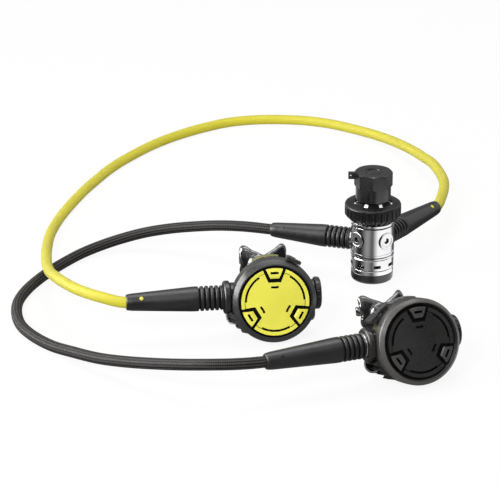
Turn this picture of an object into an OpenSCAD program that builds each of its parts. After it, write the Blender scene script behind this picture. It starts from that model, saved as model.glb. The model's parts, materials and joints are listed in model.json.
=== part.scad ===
// Scuba regulator set: a first stage with its cylinder connector, two braided
// hoses, a main second stage and a spare second stage with a yellow cover.
// Millimetres, +Z up, origin at the centre of the first stage's base.

/* [First stage] */
// Outer radius of the first stage's barrel
barrel_r = 19.6; // [18.5:0.1:22]
// Height of the base cap
base_cap_h = 8.8; // [7:0.1:11]
// Thickness of the base cap's floor
base_cap_floor = 2.6; // [2:0.1:3.5]
// Visible height of the spring carrier
carrier_h = 14.5; // [13:0.1:18]
// Height of the barrel above the spring carrier
barrel_h = 33.5; // [31:0.5:38]
// Radius of the spring chamber
spring_bore_r = 12; // [11:0.1:12.8]
// Number of water slots round the spring carrier
water_slots = 8; // [4:1:10]
// Width of a water slot
slot_w = 6.5; // [3:0.1:7.5]
// Height of a water slot
slot_h = 3; // [2:0.1:4]
// Radius of the intermediate pressure chamber
chamber_r = 12; // [10:0.1:13]
// Radius of a port's thread
port_r = 5.5; // [4.5:0.1:6]
// Radius of a port plug's head
plug_head_r = 7.7; // [6.5:0.1:7.9]
// Height of the two high pressure ports above the base
plug_port_z = 41.6; // [40:0.1:44]
// Height of the two hose ports above the base
hose_port_z = 35.5; // [34:0.1:36.5]

/* [Cylinder connector] */
// Outer radius of the connector's G5/8 thread
thread_r = 11.45; // [11:0.05:12]
// Pitch of the connector's thread
thread_pitch = 1.814; // [1.5:0.001:2]
// Number of thread turns
thread_turns = 11; // [8:1:12]
// Outer radius of the hand wheel
wheel_r = 25.4; // [24:0.1:28]
// Height of the hand wheel
wheel_h = 17.4; // [16:0.1:20]
// Number of flutes round the hand wheel
wheel_flutes = 28; // [12:1:32]
// Height of the dust cap
cap_h = 26.4; // [26:0.1:32]
// Radius of the dust cap's lower tier
cap_r = 15.9; // [15:0.1:17]
// Corner radius of the dust cap's eight-sided grip
cap_grip_r = 17.3; // [16.5:0.1:19]
// Height of the dust cap's grip
cap_grip_h = 14; // [10:0.1:15]

/* [Hoses] */
// Outer radius of both hoses
hose_r = 4.9; // [4.5:0.1:5]
// Length of the black hose's sleeve at the first stage
black_sleeve_len = 75; // [65:1:80]
// Length of the yellow hose's sleeve at the first stage
yellow_sleeve_len = 84; // [70:1:90]
// Length of the main second stage's sleeve
primary_sleeve_len = 88; // [74:1:94]
// Length of the spare second stage's sleeve
octopus_sleeve_len = 84; // [74:1:94]
// Number of ribs on a sleeve
sleeve_ribs = 5; // [3:1:7]
// Radius of a rib on the first stage sleeves
first_rib_r = 10.2; // [9:0.1:11]
// Radius of a rib on the second stage sleeves
second_rib_r = 10.8; // [10:0.1:12]
// Radius of the thin end of the first stage sleeves
first_tip_r = 6.3; // [6:0.1:7.5]
// Radius of the thin end of the second stage sleeves
second_tip_r = 6.9; // [6:0.1:7.5]

/* [Second stage] */
// Outer radius of the front ring
ring_r = 36.3; // [35:0.1:38]
// Width of the front ring round the cover
cover_rim = 6.1; // [5:0.1:7]
// Depth of the front ring
ring_depth = 12.6; // [12:0.1:14]
// Wall of the second stage's case
case_wall = 2.2; // [1.6:0.1:2.6]
// Width of the cover round the purge button
button_rim = 4.4; // [4:0.1:6]
// Travel of the purge button
button_travel = 2.2; // [1.5:0.1:2.4]
// Outer radius of the valve tube
valve_tube_r = 7.5; // [7:0.1:8]
// Bore of the valve tube
valve_bore_r = 4.6; // [4:0.1:5]
// Height of the valve tube above the cover's centre
valve_rise = 2; // [0:0.1:4]
// Radius of the hose nut
nut_r = 14.4; // [13.5:0.1:15]
// Radius of the breathing effort knob
knob_r = 14; // [12.5:0.1:15]
// Thickness of the breathing effort knob
knob_h = 5.2; // [4:0.1:8]
// Half width of the mouthpiece's tube
mouth_half_w = 11; // [9:0.1:12.5]
// Half height of the mouthpiece's tube
mouth_half_h = 6.2; // [5:0.1:7]
// Wall of the mouthpiece
mouth_wall = 2.3; // [1.8:0.1:2.6]
// Upward tilt of the mouthpiece
mouth_tilt = 11; // [8:1:14]
// Length of the mouthpiece's bite tabs
bite_len = 15; // [10:0.5:18]

/* [Hidden] */

// General fineness and shared clearances
$fn = 64;
run_fit = 0.06;      // radial clearance of a turning or sliding fit
seat_gap = 0.3;      // gap between bodies that move past each other
cut = 0.5;           // how far a cutter runs past the face it opens

// Colours
chrome = [0.78, 0.79, 0.80];
brass = [0.76, 0.62, 0.32];
steel = [0.62, 0.63, 0.65];
black_plastic = [0.16, 0.16, 0.17];
grey_plastic = [0.30, 0.30, 0.32];
black_rubber = [0.10, 0.10, 0.11];
seal_rubber = [0.20, 0.12, 0.10];
yellow = [0.95, 0.90, 0.15];

// First stage levels, from the base upwards
carrier_top = base_cap_h + carrier_h;
barrel_top = carrier_top + barrel_h;
neck_h = 3.7;                       // carrier neck inside the body
diaphragm_t = 1.2;
shoulder_z = carrier_top + neck_h + diaphragm_t;
neck_r = barrel_r - 2.1;
skirt_r = barrel_r - 3.5;           // carrier skirt inside the base cap
screw_z = base_cap_floor + 0.8;
screw_h = 5.6;
pad_h = 2.8;
pad_z = carrier_top + neck_h - pad_h - 0.2;
spring_z0 = screw_z + screw_h;
web_z = shoulder_z + 8.8;
web_h = 3;
hp_z = web_z + web_h;               // floor of the high pressure chamber
hp_r = 6.5;
orifice_r = 2.2;
pin_r = 1.6;
push_foot_h = 2;
valve_travel = 0.5;
seat_r = 4.6;
main_wire_r = 1.1;
main_turns = 4;
valve_wire_r = 0.5;
valve_turns = 3;
poppet_turns = 3;
poppet_spring_len = 5.6;
socket_r = 8.5;                     // thread that holds the connector
socket_h = 7;
valve_spring_z = hp_z + 3.5 + valve_travel + 0.1;
valve_spring_top = barrel_top - socket_h + 0.5;
plug_reach = 7.4;                   // radial depth of a port
plug_sink = 1.7;
plug_head_h = 2.4;
plug_angles = [-52.6, -138.3];
black_port_angle = 163;
yellow_port_angle = 53;

// Connector levels
flange_r = 15;
flange_h = 2.6;
stem_r = 7.5;
hub_r = 15.8;                       // threaded sleeve's hub in the hand wheel
hub_z = barrel_top + flange_h + seat_gap;
wheel_z = barrel_top + 0.6;
wheel_top = wheel_z + wheel_h;
collar_h = 1.6;                     // castellated collar on top of the wheel
hub_top = wheel_top + 1.2;
thread_top = hub_top + 1.6 + thread_turns * thread_pitch;
head_r = 9.3;
head_z = thread_top - 8;
head_top = thread_top + 0.8;
inlet_r = 3;
filter_r = 5.2;
filter_h = 4;
cap_z = wheel_top + collar_h + seat_gap;
cap_top = cap_z + cap_h;
cap_bore_r = thread_r + 0.2;
wheel_windows = 8;
window_w = 3.6;
lug_len = 6.3;

// Sleeves and hoses
sleeve_bore_r = hose_r + 0.1;
sleeve_start = barrel_r + 0.6;
rib_pitch = 4.3;
rib_len = sleeve_ribs * rib_pitch;
tail_len = 12;                      // hose fitting's tail inside the sleeve
hose_sides = 12;

// Second stage levels: x to the right, y up, z to the front
ring_back = 9.4;
ring_front = ring_back + ring_depth;
rim_r = ring_r - 1.5;               // case rim inside the front ring
rim_front = ring_back + 5.6;
cover_r = ring_r - cover_rim;
button_r = cover_r - button_rim;
membrane_z = ring_back + 4.2;
case_back = -16.8;
plate_r = button_r - 12.8;
plate_z = membrane_z + 0.2;
plate_t = 1.6;
button_back_z = membrane_z + 1 + button_travel + 0.8;
button_back_t = 1.4;
button_front = ring_front - 0.4;
claw_front = ring_front + 1.1;
claw_back = button_back_z + button_back_t + 0.6;
claw_in = cover_r - 9.9;
claw_out = cover_r - 0.06;
claw_w_out = 17;
claw_w_in = 7.5;
claw_gap = 1.7;
claw_angles = [90, 210, 330];
boss_l_r = 12.6;
boss_r_r = 12;
nut_x = ring_r + 0.4;
nut_len = 5.5;
nut_face = nut_x + nut_len;
inlet_end_r = 6.4;
tube_end_x = ring_r - 4;
seat_x = -8;
poppet_len = 24;
poppet_lift = 0.8;
lever_x = 12;
lever_z = 8.6;
finger_z = 3;
knob_x = ring_r + 0.4;
spigot_y = 12;
spigot_z = -8;
spigot_len = 18;
flange_s = 38.6;
shield = [[0, -9], [4.5, -11], [10, -13], [15, -15.6], [18.5, -15.2], [21, -12], [20.8, -4],
    [20, 0], [21.2, 5], [20, 10], [16, 13], [9, 12], [0, 11]];
exhaust_tilt = 40;
exhaust_seat = 23.2;
exhaust_r = 7.5;
exhaust_end = 27;
tee_r = 8;
octopus_venturi = 27;               // where the lever sits, from the top
primary_venturi = -36;
primary_venturi_turn = -90;         // its tab lies along the rim
venturi_z = 2;

// Placements of the two second stages
primary_pos = [23, -215.7];
primary_yaw = 21.5;
primary_pitch = 18.5;
octopus_pos = [-91.8, -127.4];
octopus_yaw = 7.5;
octopus_pitch = 12.5;

// Free routes of the hoses, from the first stage to the second stage
black_route = [[-115, 36, 35], [-139, 46, 32], [-163, 56, 27], [-186, 63, 22],
    [-208, 66, 17], [-229, 64, 12], [-248, 57, 8], [-265, 43, 6], [-279, 25, 5],
    [-291, 4, 5], [-302, -19, 5], [-311, -44, 5], [-316, -70, 5], [-315, -96, 5],
    [-309, -121, 5], [-297, -143, 5], [-280, -163, 5], [-260, -183, 8],
    [-238, -204, 12], [-215, -224, 18], [-191, -241, 24], [-167, -256, 30],
    [-144, -267, 35], [-121, -268, 36]];
yellow_route = [[66, 94, 35], [69, 108, 35], [73, 132, 34], [75, 157, 32], [75, 182, 28],
    [73, 208, 25], [69, 236, 22], [62, 264, 18], [53, 291, 15], [42, 317, 12],
    [30, 341, 9], [15, 362, 7], [-4, 383, 5], [-26, 398, 5], [-51, 408, 5],
    [-78, 412, 5], [-105, 411, 5], [-131, 404, 5], [-154, 390, 5], [-175, 373, 5],
    [-194, 354, 5], [-211, 333, 5], [-226, 310, 5], [-240, 286, 5], [-252, 261, 5],
    [-262, 235, 5], [-271, 210, 5], [-279, 184, 5], [-286, 158, 5], [-292, 132, 5],
    [-296, 105, 6], [-298, 78, 8], [-298, 51, 10], [-297, 24, 13], [-295, -2, 16],
    [-292, -28, 21], [-288, -53, 27], [-282, -79, 34], [-272, -103, 38],
    [-258, -124, 40], [-239, -139, 40]];

// ---------- helpers ----------

// Height of a stage's centre when its ring or its case rests on the ground
function stage_lift(pitch) = max(concat(
    [ring_r * cos(pitch) - ring_back * sin(pitch)],
    [for (q = bowl(0)) q.x * cos(pitch) - q.y * sin(pitch)]));

function turn_x(p, a) = [p.x, p.y * cos(a) - p.z * sin(a), p.y * sin(a) + p.z * cos(a)];

function turn_z(p, a) = [p.x * cos(a) - p.y * sin(a), p.x * sin(a) + p.y * cos(a), p.z];

// A point of a second stage, carried to the place where that stage lies
function stage_point(p, pos, yaw, pitch) =
    turn_z(turn_x(p, 90 - pitch), yaw) + [pos.x, pos.y, stage_lift(pitch)];

function port_point(angle, reach) =
    [reach * cos(angle), reach * sin(angle), hose_port_z];

// The whole centreline of a hose, from the tail of its first fitting to the
// tail of its last one; the ends run straight inside the sleeves
function hose_line(angle, first_len, route, last_len, pos, yaw, pitch) = concat(
    [port_point(angle, sleeve_start + tail_len),
     port_point(angle, sleeve_start + first_len)],
    route,
    [stage_point([-(nut_face + last_len), valve_rise, 0], pos, yaw, pitch),
     stage_point([-(nut_face + tail_len), valve_rise, 0], pos, yaw, pitch)]);

function unit(v) = v / norm(v);

// Tangent at point i of a line
function heading(line, i) =
    let (n = len(line) - 1)
    i == 0 ? unit(line[1] - line[0])
    : i == n ? unit(line[n] - line[n - 1])
    : unit(unit(line[i + 1] - line[i]) + unit(line[i] - line[i - 1]));

// Ring of points round a line's point; side sets where the first point lies
function ring_points(centre, along, side, r, sides) =
    let (u = unit(cross(along, side)), v = cross(u, along))
    [for (k = [0:sides - 1])
        centre + r * (cos(360 * k / sides) * u + sin(360 * k / sides) * v)];

// Faces of a closed tube of `rings` rings with `sides` points each
function tube_faces(rings, sides) = concat(
    [for (i = [0:rings - 2], k = [0:sides - 1])
        let (a = i * sides + k, b = i * sides + (k + 1) % sides)
        [a, b, b + sides]],
    [for (i = [0:rings - 2], k = [0:sides - 1])
        let (a = i * sides + k, b = i * sides + (k + 1) % sides)
        [a, b + sides, a + sides]],
    [for (k = [1:sides - 2]) [0, k + 1, k]],
    [for (k = [1:sides - 2])
        let (last = (rings - 1) * sides)
        [last, last + k, last + k + 1]]);

// A round tube swept along a line of points
module sweep_tube(line, r, sides, side = [0, 0, 1]) {
    points = [for (i = [0:len(line) - 1])
        each ring_points(line[i], heading(line, i), side, r, sides)];
    polyhedron(points = points, faces = tube_faces(len(line), sides), convexity = 10);
}

// Centreline of a spring, eight points a turn
function coil_line(mean_r, wire_r, height, turns) =
    [for (i = [0:turns * 8])
        [mean_r * cos(45 * i), mean_r * sin(45 * i),
         wire_r * 1.1 + (height - 2.2 * wire_r) * i / (turns * 8)]];

// Least gap between one turn of a tube and any later one
function least_gap(line, r) =
    min([for (i = [0:len(line) - 7], j = [i + 6:len(line) - 1]) norm(line[i] - line[j])]) - 2 * r;

// A compression spring standing on z = 0, just free of its seats
module coil_spring(mean_r, wire_r, height, turns) {
    sweep_tube(coil_line(mean_r, wire_r, height, turns), wire_r, 6);
}

// Puts its children, drawn with +Z outwards, on the barrel at an angle
module at_port(angle, z) {
    rotate([0, 0, angle]) translate([0, 0, z]) rotate([0, 90, 0]) children();
}

module place_primary() {
    translate([primary_pos.x, primary_pos.y, stage_lift(primary_pitch)])
        rotate([90 - primary_pitch, 0, primary_yaw]) children();
}

module place_octopus() {
    translate([octopus_pos.x, octopus_pos.y, stage_lift(octopus_pitch)])
        rotate([90 - octopus_pitch, 0, octopus_yaw]) children();
}

// Closed curve through a loop of points, n steps between each two
function smooth_loop(p, n) = let (c = len(p))
    [for (i = [0:c - 1], k = [0:n - 1])
        let (t = k / n, a = p[(i + c - 1) % c], b = p[i], d = p[(i + 1) % c], e = p[(i + 2) % c])
        0.5 * (2 * b + t * (d - a) + t * t * (2 * a - 5 * b + 4 * d - e)
            + t * t * t * (3 * b - a - 3 * d + e))];

// A cylinder along x between two stations, on the valve tube's axis
module along_x(x0, x1, r) {
    translate([x0, valve_rise, 0]) rotate([0, 90, 0]) cylinder(h = x1 - x0, r = r);
}

// Two circles joined by their tangents
module oval(half_w, half_h) {
    flat = half_w - half_h;
    translate([-flat, 0]) circle(r = half_h);
    translate([flat, 0]) circle(r = half_h);
    translate([-flat, -half_h]) square([2 * flat, 2 * half_h]);
}

// ---------- first stage ----------

module base_cap() {
    color(black_plastic)
    rotate_extrude() polygon([
        [0, 0], [barrel_r - 2.6, 0], [barrel_r - 1.2, 0.8], [barrel_r - 0.6, 2.4],
        [barrel_r - 0.6, base_cap_h - 0.5], [barrel_r - 1, base_cap_h],
        [skirt_r + run_fit, base_cap_h], [skirt_r + run_fit, base_cap_floor],
        [0, base_cap_floor]]);
}

module spring_carrier() {
    slot_z = base_cap_h + carrier_h * 0.57;
    color(chrome)
    difference() {
        rotate_extrude() polygon([
            [spring_bore_r, base_cap_floor], [skirt_r, base_cap_floor],
            [skirt_r, base_cap_h], [barrel_r - 0.4, base_cap_h],
            [barrel_r - 0.4, base_cap_h + 3.4], [barrel_r - 0.8, base_cap_h + 3.7],
            [barrel_r - 0.8, base_cap_h + 4.2], [barrel_r - 0.3, base_cap_h + 4.5],
            [barrel_r - 0.2, carrier_top - 0.6], [barrel_r - 0.8, carrier_top],
            [neck_r, carrier_top], [neck_r, carrier_top + neck_h],
            [spring_bore_r, carrier_top + neck_h]]);
        for (i = [0:water_slots - 1])
            rotate([0, 0, -78 + 360 * i / water_slots])
                translate([spring_bore_r - cut, -slot_w / 2, slot_z - slot_h / 2])
                    cube([barrel_r, slot_w, slot_h]);
    }
}

module adjusting_screw() {
    color(brass)
    translate([0, 0, screw_z]) difference() {
        cylinder(h = screw_h, r = spring_bore_r - run_fit);
        translate([0, 0, -cut]) cylinder(h = 3 + cut, r = 4.2, $fn = 6);
    }
}

module main_spring() {
    color(steel)
    translate([0, 0, spring_z0])
        coil_spring(spring_bore_r - 2.8, main_wire_r, pad_z - spring_z0, main_turns);
}

module spring_pad() {
    color(brass)
    translate([0, 0, pad_z]) {
        cylinder(h = pad_h, r = spring_bore_r - 1.2);
        translate([0, 0, -2.4]) cylinder(h = 2.4 + cut, r = spring_bore_r - 5);
    }
}

module first_stage_diaphragm() {
    color(black_rubber)
    translate([0, 0, carrier_top + neck_h]) cylinder(h = diaphragm_t, r = neck_r);
}

module push_pin() {
    color(steel)
    translate([0, 0, shoulder_z + 0.05]) {
        cylinder(h = push_foot_h, r = chamber_r - 3);
        cylinder(h = hp_z + 0.45 - shoulder_z, r = pin_r);
    }
}

module first_stage_body() {
    color(chrome)
    difference() {
        rotate_extrude() polygon([
            [neck_r + run_fit, carrier_top], [barrel_r - 0.6, carrier_top],
            [barrel_r, carrier_top + 0.6], [barrel_r, carrier_top + 1.6],
            [barrel_r - 0.7, carrier_top + 1.9], [barrel_r - 0.7, carrier_top + 2.6],
            [barrel_r, carrier_top + 2.9], [barrel_r, carrier_top + 4.6],
            [barrel_r - 0.6, carrier_top + 4.9], [barrel_r - 0.6, carrier_top + 5.5],
            [barrel_r, carrier_top + 5.8], [barrel_r, barrel_top - 3.7],
            [barrel_r - 0.8, barrel_top - 3.4], [barrel_r - 0.8, barrel_top - 2.6],
            [barrel_r - 0.1, barrel_top - 2.3], [barrel_r - 0.1, barrel_top - 0.4],
            [barrel_r - 0.5, barrel_top], [socket_r, barrel_top],
            [socket_r, barrel_top - socket_h], [hp_r, barrel_top - socket_h],
            [hp_r, hp_z], [orifice_r, hp_z], [orifice_r, web_z],
            [chamber_r, web_z], [chamber_r, shoulder_z], [neck_r + run_fit, shoulder_z]]);
        for (a = plug_angles) at_port(a, plug_port_z) {
            translate([0, 0, barrel_r - plug_reach]) cylinder(h = plug_reach + cut, r = port_r);
            translate([0, 0, barrel_r - plug_sink]) cylinder(h = plug_sink + cut, r = plug_head_r + 0.2);
            translate([0, 0, hp_r - 1]) cylinder(h = barrel_r - hp_r, r = 1.2);
        }
        for (a = [black_port_angle, yellow_port_angle]) at_port(a, hose_port_z) {
            translate([0, 0, chamber_r - 1.5]) cylinder(h = barrel_r - chamber_r + 2, r = port_r);
            translate([0, 0, barrel_r - plug_sink]) cylinder(h = plug_sink + cut, r = plug_head_r + 0.2);
        }
    }
}

module pressure_valve() {
    color(brass)
    translate([0, 0, hp_z + 0.5]) {
        cylinder(h = 3, r = seat_r);
        cylinder(h = barrel_top - hp_z - 5, r = 2);
    }
}

module valve_spring() {
    color(steel)
    translate([0, 0, valve_spring_z])
        coil_spring(3.4, valve_wire_r, valve_spring_top - valve_spring_z, valve_turns);
}

module port_plugs() {
    shank = plug_reach - plug_sink - 0.6;
    color(chrome)
    for (a = plug_angles) at_port(a, plug_port_z)
        translate([0, 0, barrel_r - plug_sink]) difference() {
            union() {
                translate([0, 0, -shank]) cylinder(h = shank + 0.1, r = port_r - run_fit);
                rotate_extrude() polygon([
                    [0, 0], [plug_head_r, 0], [plug_head_r, plug_head_h - 0.5],
                    [plug_head_r - 0.5, plug_head_h], [plug_head_r - 2, plug_head_h],
                    [plug_head_r - 2.3, plug_head_h - 0.4], [0, plug_head_h - 0.4]]);
            }
            translate([0, 0, plug_head_h - 2.2]) cylinder(h = 3, r = 2.9, $fn = 6);
        }
}

module din_connector() {
    color(chrome)
    rotate_extrude() polygon([
        [inlet_r, barrel_top - socket_h + 0.6], [socket_r - run_fit, barrel_top - socket_h + 0.6],
        [socket_r - run_fit, barrel_top], [flange_r, barrel_top],
        [flange_r, barrel_top + flange_h], [stem_r, barrel_top + flange_h],
        [stem_r, head_z], [head_r, head_z], [head_r, head_top - 0.6],
        [head_r - 0.6, head_top], [8.1, head_top], [8.1, head_top - 1.6],
        [6.2, head_top - 1.6], [6.2, head_top],
        [filter_r + 0.1, head_top], [filter_r + 0.1, head_top - filter_h - 1],
        [inlet_r, head_top - filter_h - 1]]);
}

module inlet_filter() {
    color(brass)
    translate([0, 0, head_top - filter_h - 1])
        rotate_extrude() polygon([[0, 0.3], [inlet_r, 0], [filter_r, 0],
            [filter_r, filter_h], [0, filter_h - 1.4]]);
}

module din_o_ring() {
    color(seal_rubber)
    translate([0, 0, head_top - 0.75])
        rotate_extrude() translate([7.15, 0]) circle(r = 0.85, $fn = 24);
}

module din_screw() {
    groove = 1.05;
    root = thread_r - groove;
    thread = [for (i = [0:thread_turns - 1])
        let (z = hub_top + 1.6 + i * thread_pitch)
        each [[root, z + 0.15 * thread_pitch], [thread_r, z + 0.45 * thread_pitch],
              [thread_r, z + 0.6 * thread_pitch], [root, z + 0.9 * thread_pitch]]];
    color(chrome)
    rotate_extrude() polygon(concat(
        [[stem_r + run_fit, hub_z], [hub_r, hub_z], [hub_r, hub_top - 0.5],
         [hub_r - 0.5, hub_top], [root, hub_top], [root, hub_top + 1.5]],
        thread,
        [[root, thread_top], [head_r + 0.12, thread_top],
         [head_r + 0.12, head_z - seat_gap], [stem_r + run_fit, head_z - seat_gap]]));
}

module din_handwheel() {
    flute_r = 2;
    lip = 1.5;
    color(black_plastic)
    difference() {
        rotate_extrude() polygon([
            [flange_r + 0.4, wheel_z], [barrel_r + 0.4, wheel_z], [barrel_r + 1.5, wheel_z + 0.8],
            [wheel_r, wheel_z + 5.4], [wheel_r, wheel_top - 3.4],
            [wheel_r - 0.4, wheel_top - 2.4], [wheel_r - 1.5, wheel_top - 1.6],
            [hub_r + 2.5, wheel_top - 0.2], [hub_r + 1.8, wheel_top],
            [hub_r + 1.8, wheel_top + collar_h], [hub_r, wheel_top + collar_h],
            [hub_r, hub_z - 0.2], [flange_r + 0.4, hub_z - 0.2]]);
        for (i = [0:wheel_flutes - 1]) rotate([0, 0, 360 * i / wheel_flutes]) {
            translate([wheel_r + flute_r - lip, 0, wheel_z + 5])
                cylinder(h = wheel_h - 9, r = flute_r);
            translate([barrel_r + 1.5 + flute_r - lip, 0, wheel_z + 0.2])
                rotate([0, atan((wheel_r - barrel_r - 1.5) / 4.6), 0])
                    translate([0, 0, -2]) cylinder(h = 8.6, r = flute_r);
        }
        for (i = [0:wheel_windows - 1]) rotate([0, 0, -68.5 + 360 * i / wheel_windows])
            translate([hub_r - cut, -window_w / 2, wheel_top - 3])
                cube([3.4, window_w, collar_h + 3 + cut]);
    }
}

module dust_cap() {
    grip_z = cap_top - cap_grip_h;
    flat = cap_grip_r * cos(22.5);
    color(black_plastic)
    difference() {
        union() {
            rotate_extrude() polygon([
                [0, cap_z], [cap_r - 0.5, cap_z], [cap_r, cap_z + 0.5],
                [cap_r, grip_z + 0.6], [flat - 0.2, grip_z + 0.9],
                [flat - 0.2, cap_top - 0.4], [0, cap_top - 0.4]]);
            intersection() {
                translate([0, 0, grip_z]) rotate([0, 0, -3])
                    cylinder(h = cap_grip_h, r = cap_grip_r, $fn = 8);
                rotate_extrude() polygon([
                    [0, grip_z], [cap_r + 0.2, grip_z], [cap_grip_r + 0.2, grip_z + 1.2],
                    [cap_grip_r + 0.2, cap_top - 1], [cap_grip_r - 1.4, cap_top - 0.2],
                    [0, cap_top]]);
            }
            translate([-cap_grip_r - lug_len + 1, -2.5, cap_top - 7])
                cube([lug_len + 2, 5, 5.6]);
        }
        translate([0, 0, cap_z - cut])
            cylinder(h = head_top + 0.6 - cap_z + cut, r = cap_bore_r);
        translate([-cap_grip_r - lug_len / 2, 0, cap_top - 4.2])
            rotate([90, 0, 0]) cylinder(h = 12, r = 1.3, center = true);
        translate([0, 0, cap_top - 0.8]) cylinder(h = 2, r = 6.2);
    }
}

// ---------- hoses ----------

// A hose's threaded end at the first stage, drawn along +Z from the axis
module hose_fitting(angle) {
    color(chrome)
    at_port(angle, hose_port_z) {
        translate([0, 0, chamber_r + 1]) cylinder(h = barrel_r - plug_sink - chamber_r, r = port_r - run_fit);
        translate([0, 0, barrel_r - plug_sink]) cylinder(h = plug_sink + 0.5, r = plug_head_r);
        translate([0, 0, sleeve_start - 0.3]) cylinder(h = tail_len + 0.3, r = hose_r);
    }
}

// Ribbed strain relief sleeve, drawn along +Z, fat end at z = 0
module sleeve(length, rib_r, tip_r) {
    core_r = rib_r - 1.9;
    ribs = [for (i = [0:sleeve_ribs - 1])
        let (z = i * rib_pitch)
        each [[rib_r - 0.6, z], [rib_r, z + 0.5], [rib_r, z + rib_pitch - 2],
              [rib_r - 0.6, z + rib_pitch - 1.5], [core_r, z + rib_pitch - 1.3],
              [core_r, z + rib_pitch - 0.2]]];
    rotate_extrude() polygon(concat(
        [[sleeve_bore_r, 0]], ribs,
        [[rib_r - 0.5, rib_len], [rib_r, rib_len + 0.6],
         [rib_r - 0.1, rib_len + 6], [tip_r + 0.6, length - 5],
         [tip_r, length - 1], [tip_r - 0.8, length],
         [sleeve_bore_r, length]]));
}

module first_sleeve(angle, length) {
    color(black_rubber)
    at_port(angle, hose_port_z) translate([0, 0, sleeve_start])
        sleeve(length, first_rib_r, first_tip_r);
}

module second_sleeve(length) {
    color(black_rubber)
    translate([-nut_face, valve_rise, 0]) rotate([0, -90, 0])
        sleeve(length, second_rib_r, second_tip_r);
}

// Nut that holds the hose to a second stage and lets it swivel
module hose_nut() {
    color(black_plastic) {
        difference() {
            translate([-nut_x, valve_rise, 0]) rotate([0, -90, 0])
                rotate_extrude() polygon([
                    [0, 0], [nut_r - 0.8, 0], [nut_r, 0.8], [nut_r, nut_len - 1.2],
                    [nut_r - 1.2, nut_len], [0, nut_len]]);
            along_x(-nut_face + 1.2, -nut_x + cut, inlet_end_r + run_fit);
        }
        along_x(-nut_face - tail_len, -nut_face + 0.1, hose_r);
    }
}

module black_hose_fitting() hose_fitting(black_port_angle);

module yellow_hose_fitting() hose_fitting(yellow_port_angle);

module black_hose_first_sleeve() first_sleeve(black_port_angle, black_sleeve_len);

module yellow_hose_first_sleeve() first_sleeve(yellow_port_angle, yellow_sleeve_len);

module black_hose_second_sleeve() place_primary() second_sleeve(primary_sleeve_len);

module yellow_hose_second_sleeve() place_octopus() second_sleeve(octopus_sleeve_len);

module black_hose_nut() place_primary() hose_nut();

module yellow_hose_nut() place_octopus() hose_nut();

module black_hose() {
    color(black_rubber)
    sweep_tube(hose_line(black_port_angle, black_sleeve_len, black_route,
        primary_sleeve_len, primary_pos, primary_yaw, primary_pitch), hose_r, hose_sides);
}

module yellow_hose() {
    color(yellow)
    sweep_tube(hose_line(yellow_port_angle, yellow_sleeve_len, yellow_route,
        octopus_sleeve_len, octopus_pos, octopus_yaw, octopus_pitch), hose_r, hose_sides);
}

// ---------- second stage ----------

// Outline of the case's bowl, set in by a wall; the flank follows an ellipse
function bowl(inset) = [for (a = [0:10:90])
    [(ring_r - 0.2 - inset) * pow(cos(a), 0.75),
     4.5 - (4.5 - case_back - inset) * pow(sin(a), 0.9)]];

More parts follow.
